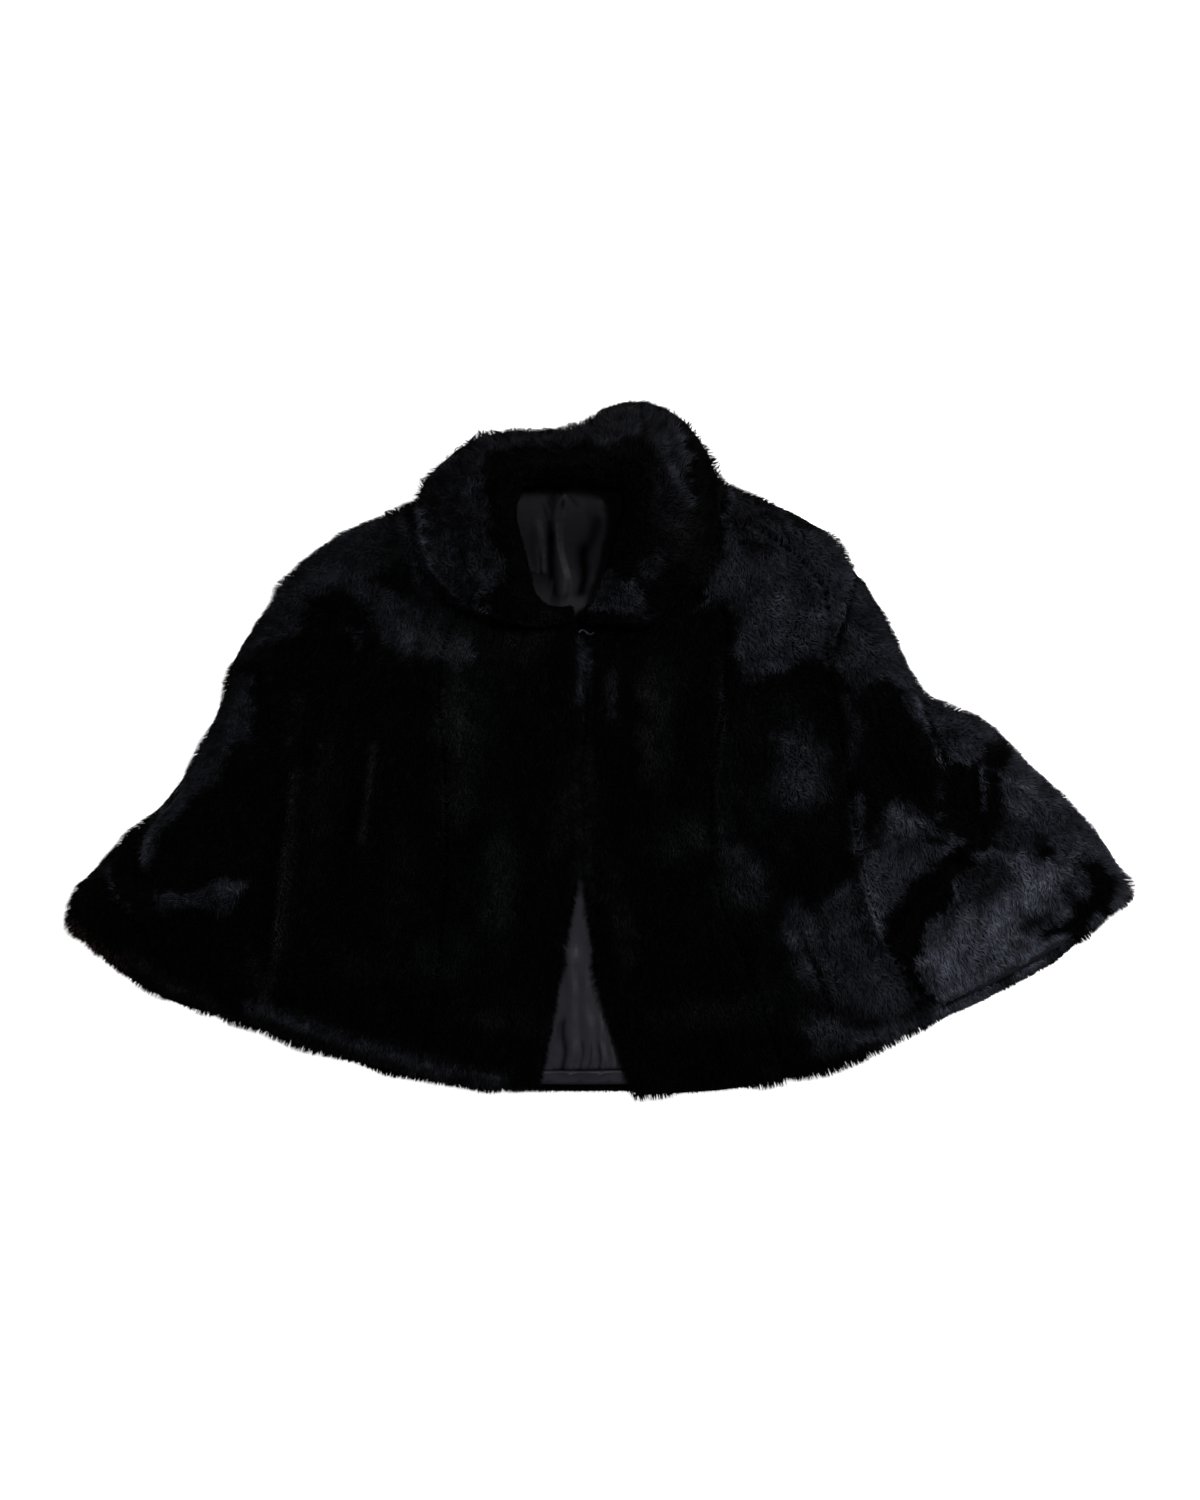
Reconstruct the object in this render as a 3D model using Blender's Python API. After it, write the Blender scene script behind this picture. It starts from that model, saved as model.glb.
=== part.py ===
"""A short fur capelet, laid flat on its back with its fronts on top.

+X is to the right of someone who looks down on it, +Y points from hem to collar,
and +Z is up. Tables are in millimetres. The origin is the middle of the floor
under the garment.
"""
import math

import bpy
import numpy as np

MM = 0.001

# Thicknesses, from the floor up
SEAM_GAP = 0.3
BACK_PILE = 12.0  # skin and pile of the back panel
SATIN = 1.3
FRONT_PILE = 11.7
SIDE_WALL = 12.0  # the same fur where it turns down at a side fold
COLLAR_PILE = 11.0
LINING_UNDER = BACK_PILE + SEAM_GAP
LINING_TOP = LINING_UNDER + SATIN
FRONT_UNDER = LINING_TOP + SEAM_GAP
FRONT_TOP = FRONT_UNDER + FRONT_PILE

# How the front cloth lies
SWELL = 5.0  # air between the fronts and the lining, away from every edge
COLLAR_COVERS = 0.13  # the share of the fronts' length that the collar presses flat
GROOVE_DEPTH = 2.2  # the pile parts over a seam
GROOVE_REACH = 4.5
EDGE_DROP = 6.0  # the pile rounds down towards a cut edge
EDGE_REACH = 10.0
BACK_EDGE_SHARE = 0.6  # the back's pile rounds down less
HALF_SEAM = 0.2

# Where the swell and the folds come in. Distances are from an edge, and shares are
# of the fronts' length.
SWELL_FROM_HEM = 60.0
SWELL_FROM_FRONT_EDGE = 40.0
SWELL_FROM_COLLAR = 0.15
FOLDS_FROM_HEM = 30.0
FOLDS_AT_HEM = 0.35
FOLDS_FROM_SIDE = 35.0
FOLDS_AT_SIDE = 0.3
FOLDS_BELOW_COLLAR = 0.17
FOLDS_BEGIN_TO_GROW = 0.13
GROOVES_BEGIN = 0.1

# Grid spacing
CAPE_LENGTH = 470.0
BODY_ROWS = 27
BACK_CELLS = 13
FACING_CELLS = 36
ROW_SAMPLES = 25
LEVEL_WITHIN = 0.01
BACK_SAMPLES = 121
HEM_STEPS = (9.0, 4.0, 0.0)  # last rows, measured up from the hem
GORE_CELLS = (4, 8, 9)

# The wall round a side fold. Each row gives a place on the outer face and one on
# the inner face: distance in from the silhouette, and height. The outer height is
# a share of the front's height where the fold begins.
SIDE_FOLD_DEPTH = 15.5
SIDE_FOLD = (
    # outer_in, outer_share, inner_in, inner_height
    (9.0, 0.92, 13.0, 13.6),
    (4.5, 0.74, 12.0, 12.3),
    (1.4, 0.48, 12.0, 0.0),
    (0.0, 0.22, 0.8, 0.0),
)

# Seam and edge lines of each front, seven places each, from neck seam to hem
RIGHT_LINES = {
    "edge": ((-11.5, 89), (-12, 33), (-14, -22), (-14.5, -79), (-25, -134), (-34, -189), (-45, -245)),
    "princess": ((-64, 124), (-107, 91), (-117, 43), (-112, -22), (-112, -91), (-119, -163), (-132, -233)),
    "side": ((-73.5, 162), (-141, 136), (-184, 68), (-201, -4), (-218, -73), (-235, -137), (-253, -194)),
}
LEFT_LINES = {
    "edge": ((-9.5, 89), (-10, 32), (-11.5, -24), (-12, -80), (-6.5, -136), (4, -192), (24, -251)),
    "princess": ((17.5, 131), (83, 104), (89, 50), (79, -26), (83, -98), (109, -166), (133, -238)),
    "side": ((24.5, 168), (99, 162), (157, 120), (163, 66), (176, -12), (192, -101), (230, -193)),
}

# The silhouette of each half, thirteen places from the shoulder at the neck to the hem's corner
RIGHT_SILHOUETTE = (
    (-77, 191), (-123, 184), (-150, 171), (-184, 157), (-218, 131), (-244, 97), (-264, 68),
    (-275, 31), (-298, -14), (-322, -45), (-353, -73), (-381, -104), (-385, -128),
)
LEFT_SILHOUETTE = (
    (34, 198), (81, 193), (113, 182), (154, 163), (180, 134), (201, 101), (220, 64),
    (237, 37), (276, 21), (303, -5), (338, -39), (368, -74), (384, -106),
)

# Which way the hem leaves each bottom corner, and how far it bulges below the
# straight line between two seams, gore by gore
RIGHT_HEM = {"direction": (0.80, -0.60), "bulge": (3, 3, 13)}
LEFT_HEM = {"direction": (-0.76, -0.65), "bulge": (1, 5, 1)}
HEM_REACH = 0.3  # the share of the length over which the rows take up the hem's shape
NECK_REACH = 0.22  # the same for the neck seam's shape
CORNER_START = 0.88  # from here on, the side fold turns towards the corner
LINE_STEPS = 6  # a seam line has seven places
SILHOUETTE_STEPS = 12

# The top of the back panel's middle line, how soon its first rows rise to that height
# behind the neck, and its hem between the two corners
BACK_NECK = (-22, 199)
NECK_SHELF_START = 0.06  # shares of the first rows' length, from either end
NECK_SHELF_RISE = 0.16
NECK_SHELF_REACH = 0.04
BACK_HEM = (
    (-326, -170), (-250, -202), (-130, -240), (-10, -248), (125, -240), (240, -198), (322, -159),
)

# Folds in the fronts. A fold runs through three places. It stands height above the
# cloth beside it and falls away over near_width on the side of the front edges and
# far_width on the side of the silhouette. A negative height is a trough.
FOLDS = (
    # name, start, middle, end, height, near_width, far_width
    ("right hem crest", (-352, -122), (-292, -105), (-242, -93), 13, 20, 20),
    ("right side overlap", (-272, 40), (-309, -37), (-326, -81), 11, 30, 13),
    ("right corner tuck", (-343, -66), (-352, -96), (-328, -122), -7, 13, 13),
    ("right gore edge", (-190, 50), (-217, -51), (-246, -184), 8, 15, 20),
    ("right short fold", (-159, 2), (-169, -40), (-181, -87), 7, 15, 15),
    ("right centre roll", (-94, 78), (-89, -1), (-78, -80), 7, 22, 22),
    ("right low roll", (-80, -58), (-73, -98), (-81, -145), 6, 18, 18),
    ("left centre roll", (40, 64), (42, 14), (39, -37), 7, 20, 20),
    ("left princess roll", (104, 110), (88, -37), (117, -141), 7, 16, 24),
    ("left breast", (154, 8), (144, -37), (136, -84), 11, 26, 26),
    ("left shoulder layer", (166, 128), (158, 100), (153, 68), 6, 22, 16),
    ("left side overlap", (219, 32), (212, 8), (236, -32), 10, 20, 16),
    ("left elbow", (264, -4), (265, -26), (270, -58), 10, 18, 18),
    ("left wrist", (201, -38), (233, -55), (264, -72), 13, 18, 18),
    ("left low gore edge", (185, -80), (192, -109), (206, -139), 9, 15, 16),
    ("left hem trough", (252, -87), (215, -142), (236, -188), -7, 14, 12),
    ("left hem panel", (277, -92), (238, -146), (258, -178), 10, 14, 32),
    ("left low seam", (135, -120), (152, -156), (171, -195), -6, 14, 14),
    ("left hem roll", (290, -105), (318, -112), (348, -108), 7, 24, 20),
)

FOLD_SAMPLES = 12
FOLD_END_FADE = 22.0
FOLD_END_HEIGHT = 0.35  # the share of a fold's height at its two ends
FOLD_TAPER = (0.08, 0.92)

# Pleats in the lining, where it shows at the neck and in the V at the hem
PLEATS = (
    # start, end, height, half_width
    ((-47, 168), (-44, 134), 4.0, 6.0),
    ((-27, 180), (-26, 104), 5.5, 6.5),
    ((-6, 180), (-9, 112), 4.5, 7.5),
    ((-21, -150), (-22, -231), 3.0, 6.0),
    ((-12, -140), (-11, -231), 2.2, 4.5),
    ((-4, -190), (-2, -231), 2.6, 4.5),
    ((4, -205), (8, -231), 2.4, 5.0),
)

PLEAT_ROOM = 4.0  # a pleat stays this far inside the fur round it
HEM_V_TOP = -95.0  # below this the lining is seen between the front edges

# The lining's hem and the facing band, as shares of the way from neck to hem
LINING_END = 0.962
FACING_START = 0.9635
FACING_END = 0.986

# Collar sections from the right front's end round the back to the left front's end.
# Each runs from its foot inside the neck to its edge on the outside.
COLLAR_FOOT = 14.2
COLLAR = (
    # inner_x, inner_y, outer_x, outer_y, crest_height, edge_height
    (-20, 103, -22, 89, 36, 32.5),
    (-37, 104, -48, 86, 40, 32.5),
    (-47, 114, -78, 93, 45, 32.5),
    (-51, 129, -107, 107, 50, 32.5),
    (-55, 145, -126, 129, 53, 32.5),
    (-60, 163, -133, 157, 56, 32.5),
    (-60, 177, -133, 183, 58, 33),
    (-55, 186, -119, 205, 59, 30),
    (-41, 189, -86, 227, 60, 18),
    (-22, 189, -44, 230, 60, 9),
    (-9, 189, -12, 233, 61, 8),
    (3, 188, 3, 247, 64, 10),
    (12, 186, 32, 252, 66, 14),
    (15, 179, 62, 238, 64, 26),
    (14, 168, 79, 212, 61, 32),
    (11, 158, 87, 187, 58, 33),
    (7, 145, 83, 154, 56, 32.5),
    (4, 132, 73, 127, 52, 32.5),
    (-1, 120, 59, 106, 48, 32.5),
    (-5, 109, 39, 89, 44, 32.5),
    (-8, 104, 13, 88, 40, 32.5),
    (-12, 102, -9, 88, 36, 32.5),
)
COLLAR_JOIN = 10  # the section at the centre back, where its halves are sewn
COLLAR_STEPS = 2  # sections made between two rows of the table, for a smooth roll
COLLAR_RING = 9  # points from foot to edge on each face
NECK_CLEARANCE = 2.5  # from the collar's leg to the fronts' neck seam
LEG_SHARE = 0.42  # the most of a section's width that its leg takes up
RISE_PLACE = (0.01, 0.55)  # along and up the leg
CREST_PLACE = 0.36  # along the section
FALL_PLACE = (0.70, 0.55)  # along the section, and down from the crest
TIP_SHARE = 0.72  # how thick the fall's edge is

# The collar's sections beside the neck hole, and the fronts' neck seam along them
COLLAR_RIGHT_INSIDE = COLLAR[0:7]
COLLAR_LEFT_INSIDE = COLLAR[:12:-1]
RIGHT_NECK_SECTIONS = COLLAR[0:7]
LEFT_NECK_SECTIONS = COLLAR[21:14:-1]

# Between these the lining is seen through the neck
NECK_FRONT_Y = 104.0
NECK_LINE_Y = 186.0

HOOK_PLACE = (-10.5, 84.0)
HOOK_LENGTH = 11.0
HOOK_WIRE = 1.5
HOOK_WAVE = 1.6
HOOK_SIDES = 6
HOOK_STEPS = 14

FUR_BLACK = (0.006, 0.006, 0.008)
SATIN_BLACK = (0.016, 0.014, 0.020)
HOOK_STEEL = (0.25, 0.25, 0.28)


def spline(points, t):
    """A smooth curve through points, at t from 0 to len(points) - 1."""
    points = np.asarray(points, float)
    last = len(points) - 1
    i = int(min(max(math.floor(t), 0), last - 1))
    f = t - i
    p1, p2 = points[i], points[i + 1]
    p0 = points[i - 1] if i > 0 else 2 * p1 - p2
    p3 = points[i + 2] if i + 2 <= last else 2 * p2 - p1
    return 0.5 * (2 * p1 + (p2 - p0) * f + (2 * p0 - 5 * p1 + 4 * p2 - p3) * f * f
                  + (3 * p1 - p0 - 3 * p2 + p3) * f ** 3)


def ease(t):
    """0 below 0, 1 above 1, and smooth in between."""
    t = min(max(t, 0.0), 1.0)
    return t * t * (3 - 2 * t)


def unit(v):
    return v / max(np.linalg.norm(v), 1e-9)


def collar_leg(section):
    """The thickness of the collar's wall at a section; it thins towards the ends."""
    width = math.hypot(section[2] - section[0], section[3] - section[1])
    return min(COLLAR_PILE, LEG_SHARE * width)


def neck_seam(section):
    """Where the fronts are sewn on: just outside the collar's leg."""
    inner, outer = np.array(section[0:2], float), np.array(section[2:4], float)
    return inner + unit(outer - inner) * (collar_leg(section) + NECK_CLEARANCE)


def fold_profile(distance, fold_near, fold_far):
    """A rounded ridge, 1 at its crest, with a width of its own on each side."""
    width = fold_near if distance < 0 else fold_far
    return ease(1 - abs(distance) / width)


def lift(x, y, side):
    """How high the folds raise the fronts at a place."""
    total = 0.0
    for _, start, middle, end, height, near, far in FOLDS:
        best = None
        for k in range(FOLD_SAMPLES + 1):
            f = k / FOLD_SAMPLES
            here = spline((start, middle, end), 2 * f)
            away = math.hypot(x - here[0], y - here[1])
            if best is None or away < best[0]:
                best = (away, f, here)
        away, f, here = best
        if away > 3 * max(near, far):
            continue
        along = unit(spline((start, middle, end), min(2 * f + 0.1, 2.0))
                     - spline((start, middle, end), max(2 * f - 0.1, 0.0)))
        offset = np.array((x, y)) - here
        across = float(offset[0] * along[1] - offset[1] * along[0])
        downward = along[1] < 0
        outward = -across * side if downward else across * side
        past_end = abs(float(offset @ along)) if f in (0.0, 1.0) else 0.0
        end_fade = ease(1 - past_end / FOLD_END_FADE)
        rise = math.sin(math.pi * min(max(f, FOLD_TAPER[0]), FOLD_TAPER[1]))
        taper = FOLD_END_HEIGHT + (1 - FOLD_END_HEIGHT) * rise
        total += height * taper * end_fade * fold_profile(outward, near, far)
    return total


class Half:
    """One front: its lines, its silhouette, and its place on the floor plan."""

    def __init__(self, lines, silhouette, hem, neck_sections, side):
        self.lines = [np.array(p, float) for p in lines.values()]
        self.silhouette = np.array(silhouette, float)
        self.hem_direction = np.array(hem["direction"])
        self.hem_bulge = hem["bulge"]
        self.side = side
        self.neck = [self.lines[0][0]] + [neck_seam(s) for s in neck_sections]
        self.lines[1][0] = self.neck[4]
        self.lines[2][0] = self.neck[6]

    def rim(self, v):
        """The silhouette's place and inward direction at v."""
        t = v * SILHOUETTE_STEPS
        here = spline(self.silhouette, t)
        ahead, behind = min(t + 0.3, SILHOUETTE_STEPS), max(t - 0.3, 0)
        along = unit(spline(self.silhouette, ahead) - spline(self.silhouette, behind))
        square = np.array((along[1], -along[0])) * self.side
        turn = ease((v - CORNER_START) / (1 - CORNER_START))
        return here, unit(square * (1 - turn) + self.hem_direction * turn)

    def row(self, v):
        """Points of a row from the front edge to where the side fold begins, three stretches."""
        here, inward = self.rim(v)
        anchors = [spline(line, v * LINE_STEPS) for line in self.lines] + [here + inward * SIDE_FOLD_DEPTH]
        stretches = []
        for gore, nodes in enumerate(((0, 4), (4, 6), (6, 7))):
            fractions = np.linspace(0, 1, ROW_SAMPLES)
            curve = np.array([spline(anchors, gore + f) for f in fractions])
            fade = max(0.0, 1 - v / NECK_REACH) ** 2
            if fade > 0 and gore < 2:
                neck = [spline(self.neck, nodes[0] + f * (nodes[1] - nodes[0])) for f in fractions]
                straight = np.array([spline([line[0] for line in self.lines] + [self.neck[-1]], gore + f)
                                     for f in fractions])
                curve = curve + (np.array(neck) - straight) * fade
            low = max(0.0, 1 - (1 - v) / HEM_REACH) ** 2
            bulge = self.hem_bulge[gore] * low * 4 * fractions * (1 - fractions)
            chord = unit(curve[-1] - curve[0]) * self.side
            curve = curve + np.outer(bulge, (chord[1], -chord[0]))
            stretches.append(curve)
        return stretches


def spaced(curve, distances):
    """Points of a curve at distances along it."""
    steps = np.linalg.norm(np.diff(curve, axis=0), axis=1)
    along = np.concatenate([[0], np.cumsum(steps)])
    return np.stack([np.interp(distances, along, curve[:, k]) for k in range(2)], axis=1)


def gore_distances(curve, gore):
    """Where a gore's columns stand along a row, in millimetres from its first seam."""
    length = float(np.linalg.norm(np.diff(curve, axis=0), axis=1).sum())
    near = [HALF_SEAM, GROOVE_REACH] if gore else [HALF_SEAM, 4.0, EDGE_REACH]
    far = [length - GROOVE_REACH, length - HALF_SEAM] if gore < 2 else [length]
    between = np.linspace(near[-1], far[0], GORE_CELLS[gore] + 1)[1:-1]
    return near + list(between) + far


def row_places(silhouette_length):
    """The rows' places from neck to hem, closer together at the hem's rounded edge."""
    last = 1 - HEM_STEPS[0] / silhouette_length
    rows = [last * k / BODY_ROWS for k in range(BODY_ROWS + 1)]
    return rows + [1 - step / silhouette_length for step in HEM_STEPS[1:]]


ROWS = row_places(CAPE_LENGTH)


def front_heights(x, y, v, seam_near, seam_far, open_edge, rim, side):
    """The front's top and underside at a place. The last distances are to its edges."""
    hem = (1 - v) * CAPE_LENGTH
    calm = ease(hem / SWELL_FROM_HEM) * ease((v - COLLAR_COVERS) / SWELL_FROM_COLLAR)
    if open_edge is not None:
        calm *= ease(open_edge / SWELL_FROM_FRONT_EDGE)
    folds = lift(x, y, side) * ease((v - FOLDS_BELOW_COLLAR) / FOLDS_BEGIN_TO_GROW)
    folds *= FOLDS_AT_HEM + (1 - FOLDS_AT_HEM) * ease(hem / FOLDS_FROM_HEM)
    if rim is not None:
        beside = ease((rim - SIDE_FOLD_DEPTH) / FOLDS_FROM_SIDE)
        folds *= FOLDS_AT_SIDE + (1 - FOLDS_AT_SIDE) * beside
    rise = max(0.0, SWELL * calm + folds)
    top = FRONT_TOP + rise
    for seam in (seam_near, seam_far):
        if seam is not None and v > GROOVES_BEGIN:
            top -= GROOVE_DEPTH * ease(1 - seam / GROOVE_REACH)
    edge = hem if open_edge is None else min(hem, open_edge)
    top -= EDGE_DROP * max(0.0, 1 - edge / EDGE_REACH) ** 2
    return top, FRONT_UNDER + rise


def gore_grids(half, gore):
    """The outer and inner points of one gore, row by row."""
    outer, inner = [], []
    for v in ROWS:
        stretches = half.row(v)
        distances = gore_distances(stretches[gore], gore)
        places = spaced(stretches[gore], distances)
        length = distances[-1] + (HALF_SEAM if gore < 2 else 0)
        tops, unders = [], []
        for (x, y), d in zip(places, distances):
            near = None if gore == 0 else d - HALF_SEAM
            far = None if gore == 2 else length - HALF_SEAM - d
            open_edge = d - HALF_SEAM if gore == 0 else None
            rim = length - d + SIDE_FOLD_DEPTH if gore == 2 else None
            top, under = front_heights(x, y, v, near, far, open_edge, rim, half.side)
            tops.append((x, y, top))
            unders.append((x, y, under))
        if gore == 2:
            here, inward = half.rim(v)
            full = tops[-1][2]
            for outer_in, share, inner_in, inner_height in SIDE_FOLD:
                tops.append((*(here + inward * outer_in), full * share))
                unders.append((*(here + inward * inner_in), inner_height))
        outer.append(tops)
        inner.append(unders)
    return np.array(outer), np.array(inner)


def split_along_fold(points, quad, flip):
    """Two triangles whose shared edge joins the corners nearest in height, or else nearest."""
    a, b, c, d = quad
    drops = [abs(points[j][2] - points[k][2]) for j, k in ((a, c), (b, d))]
    reaches = [np.linalg.norm(points[j] - points[k]) for j, k in ((a, c), (b, d))]
    level = abs(drops[0] - drops[1]) < LEVEL_WITHIN * MM
    if (reaches[0] <= reaches[1]) if level else (drops[0] < drops[1]):
        halves = [(a, b, c), (a, c, d)]
    else:
        halves = [(a, b, d), (b, c, d)]
    return [tuple(reversed(h)) for h in halves] if flip else halves


def wall(name, outer, inner, material):
    """A closed wall between two grids of points, in millimetres."""
    rows, columns = outer.shape[:2]
    count = rows * columns
    points = np.concatenate([outer.reshape(-1, 3), inner.reshape(-1, 3)]) * MM

    def top(i, j):
        return i * columns + j

    faces = []
    for i in range(rows - 1):
        for j in range(columns - 1):
            a, b, c, d = top(i, j), top(i + 1, j), top(i + 1, j + 1), top(i, j + 1)
            for first, flip in ((0, False), (count, True)):
                quad = [k + first for k in (a, b, c, d)]
                faces += split_along_fold(points, quad, flip)
    border = [(i, 0) for i in range(rows)]
    border += [(rows - 1, j) for j in range(1, columns)]
    border += [(i, columns - 1) for i in range(rows - 2, -1, -1)]
    border += [(0, j) for j in range(columns - 2, 0, -1)]
    for (i, j), (k, m) in zip(border, border[1:] + border[:1]):
        a, b = top(i, j), top(k, m)
        faces.append((b, a, a + count, b + count))
    return solid(name, points, faces, material)


def solid(name, points, faces, material):
    """One object from points and faces, with its faces turned outwards."""
    volume = 0.0
    for face in faces:
        for k in range(1, len(face) - 1):
            a, b, c = points[face[0]], points[face[k]], points[face[k + 1]]
            volume += float(np.dot(a, np.cross(b, c)))
    if volume < 0:
        faces = [tuple(reversed(face)) for face in faces]
    mesh = bpy.data.meshes.new(name)
    mesh.from_pydata([tuple(p) for p in points], [], faces)
    mesh.update()
    mesh.shade_smooth()
    mesh.set_sharp_from_angle(angle=math.radians(60))
    mesh.materials.append(material)
    item = bpy.data.objects.new(name, mesh)
    bpy.context.scene.collection.objects.link(item)
    return item


def make_material(name, colour, roughness, metallic=0.0):
    material = bpy.data.materials.new(name)
    material.use_nodes = True
    surface = material.node_tree.nodes["Principled BSDF"]
    surface.inputs["Base Color"].default_value = (*colour, 1)
    surface.inputs["Roughness"].default_value = roughness
    surface.inputs["Metallic"].default_value = metallic
    return material


def back_row(right, left, v, inset):
    """A smooth row across the back, from the right side fold to the left one."""
    here, inward = right.rim(v)
    start = here + inward * inset
    here, inward = left.rim(v)
    end = here + inward * inset
    hem_middle = np.array(BACK_HEM[len(BACK_HEM) // 2], float)
    middle = np.array(BACK_NECK, float) * (1 - v) + hem_middle * v
    f = np.linspace(0, 1, BACK_SAMPLES)
    near, far = 1 - f, f
    level = np.sin(math.pi * f) ** 2
    shelf = np.array([ease((min(t, 1 - t) - NECK_SHELF_START) / NECK_SHELF_RISE) for t in f])
    arch = level + np.maximum(shelf - level, 0) * max(0.0, 1 - v / NECK_SHELF_REACH) ** 2

    def arched(first, peak, last):
        """From first to last past peak, level with the straight line at both ends."""
        return np.outer(near, first) + np.outer(far, last) + np.outer(arch, peak - (first + last) / 2)

    curve = arched(start, middle, end)
    low = max(0.0, 1 - (1 - v) / HEM_REACH) ** 2
    if low > 0:
        ends = [half.rim(1)[0] + half.rim(1)[1] * inset for half in (right, left)]
        plain = arched(ends[0], hem_middle, ends[1])
        hem = [ends[0], *BACK_HEM, ends[1]]
        hem = np.array([spline(hem, t * (len(hem) - 1)) for t in f])
        curve = curve + (hem - plain) * low
    return curve


def back_panel(right, left, material):
    """The fur that lies on the floor. Its underside is flat."""
    tops, floors = [], []
    for v in ROWS:
        curve = back_row(right, left, v, SIDE_WALL + SEAM_GAP)
        length = float(np.linalg.norm(np.diff(curve, axis=0), axis=1).sum())
        places = spaced(curve, np.linspace(0, length, BACK_CELLS + 1))
        hem = (1 - v) * CAPE_LENGTH
        drop = BACK_EDGE_SHARE * EDGE_DROP * max(0.0, 1 - hem / EDGE_REACH) ** 2
        tops.append([(x, y, BACK_PILE - drop) for x, y in places])
        floors.append([(x, y, 0.0) for x, y in places])
    return wall("back_panel", np.array(tops), np.array(floors), material)


def neck_limits(y):
    """The collar's inner edges, right and left, at a height on the plan."""
    limits = []
    for sections in (COLLAR_RIGHT_INSIDE, COLLAR_LEFT_INSIDE):
        limits.append(float(np.interp(y, [s[1] for s in sections], [s[0] for s in sections])))
    return limits


def edge_at(line, y):
    """Where a front edge line stands at a height on the plan."""
    points = np.array([spline(line, t) for t in np.linspace(0, LINE_STEPS, 40)])[::-1]
    return float(np.interp(y, points[:, 1], points[:, 0]))


def pleat_lift(x, y):
    """How far a pleat raises the lining; none where fur lies on it."""
    if y > 0:
        x_right, x_left = neck_limits(y)
        room = min(x - x_right, x_left - x, NECK_LINE_Y - y, y - NECK_FRONT_Y) - PLEAT_ROOM
    elif y < HEM_V_TOP:
        x_right, x_left = edge_at(RIGHT_LINES["edge"], y), edge_at(LEFT_LINES["edge"], y)
        room = min(x - x_right, x_left - x) - PLEAT_ROOM
    else:
        room = 0.0
    total = 0.0
    for start, end, height, half_width in PLEATS:
        a, b = np.array(start, float), np.array(end, float)
        f = min(max(float((np.array((x, y)) - a) @ (b - a)) / float((b - a) @ (b - a)), 0.0), 1.0)
        away = math.hypot(x - a[0] - f * (b[0] - a[0]), y - a[1] - f * (b[1] - a[1]))
        total = max(total, height * ease(1 - away / half_width))
    return total * ease(room / PLEAT_ROOM)


LINING_COLUMNS_X = [-66 + 4.6 * k for k in range(22)]
# Rows of the lining on the back's middle line, close together where it is pleated
LINING_ROWS_Y = (199, 189, 184, 176, 164, 150, 136, 124, 114, 106, 98, 65, 32, 0, -32, -64,
                 -95, -120, -150, -180, -205, -222)
LINING_INSET = 10.0  # how far inside the back's fur the lining ends at the side folds


def lining_places(curve):
    """Columns of the lining: close together where it shows, wide apart under the fronts."""
    first, last = curve[0, 0], curve[-1, 0]
    xs = [first] + [first + (LINING_COLUMNS_X[0] - first) * f for f in (0.33, 0.67)]
    xs += LINING_COLUMNS_X
    xs += [LINING_COLUMNS_X[-1] + (last - LINING_COLUMNS_X[-1]) * f for f in (0.33, 0.67)] + [last]
    return [(x, float(np.interp(x, curve[:, 0], curve[:, 1]))) for x in xs]


def satin(name, right, left, rows, material):
    """A satin sheet on the back panel, with its pleats."""
    tops, unders = [], []
    for v in rows:
        curve = back_row(right, left, v, SIDE_WALL + LINING_INSET)
        places = [(x, y, pleat_lift(x, y)) for x, y in lining_places(curve)]
        tops.append([(x, y, LINING_TOP + up) for x, y, up in places])
        unders.append([(x, y, LINING_UNDER + up) for x, y, up in places])
    return wall(name, np.array(tops), np.array(unders), material)


def facing(right, left, material):
    """The band along the hem, between the lining and the fur's edge."""
    tops, unders = [], []
    for v in (FACING_START, FACING_END):
        curve = back_row(right, left, v, SIDE_WALL + LINING_INSET)
        length = float(np.linalg.norm(np.diff(curve, axis=0), axis=1).sum())
        places = spaced(curve, np.linspace(0, length, FACING_CELLS + 1))
        tops.append([(x, y, LINING_TOP) for x, y in places])
        unders.append([(x, y, LINING_UNDER) for x, y in places])
    return wall("back_hem_facing", np.array(tops), np.array(unders), material)


def collar_section(section):
    """Outer and inner points of the collar's wall at a section, from foot to edge."""
    inner, outer = np.array(section[0:2]), np.array(section[2:4])
    crest, edge = section[4], section[5]
    width = float(np.linalg.norm(outer - inner))
    thick = collar_leg(section)
    top = crest - thick / 2
    middle = [
        (thick / 2, COLLAR_FOOT),
        (thick / 2 + RISE_PLACE[0] * width, COLLAR_FOOT + RISE_PLACE[1] * (top - COLLAR_FOOT)),
        (CREST_PLACE * width, top),
        (FALL_PLACE[0] * width, edge + FALL_PLACE[1] * (top - edge)),
        (width - 0.3 * thick, edge),
    ]
    direction = unit(outer - inner)
    faces = ([], [])
    for k in range(COLLAR_RING):
        t = 4 * k / (COLLAR_RING - 1)
        here = spline(middle, t)
        along = unit(spline(middle, min(t + 0.05, 4)) - spline(middle, max(t - 0.05, 0)))
        if k == 0:
            along = np.array((0.0, 1.0))
        across = np.array((-along[1], along[0]))
        half = thick / 2 * (TIP_SHARE if k == COLLAR_RING - 1 else 1.0)
        for face, sign in zip(faces, (1, -1)):
            a, z = here + across * half * sign
            face.append((*(inner + direction * a), z))
    return faces


def collar_half(name, first, last, shift, material):
    """Half the collar, through the sections from first to last."""
    outer, inner = [], []
    steps = (last - first) * COLLAR_STEPS
    for k in range(steps + 1):
        t = first + k / COLLAR_STEPS
        section = spline(COLLAR, t)
        if t == COLLAR_JOIN:
            section[[0, 2]] += shift
        face_out, face_in = collar_section(section)
        outer.append(face_out)
        inner.append(face_in)
    return wall(name, np.array(outer), np.array(inner), material)


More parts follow.
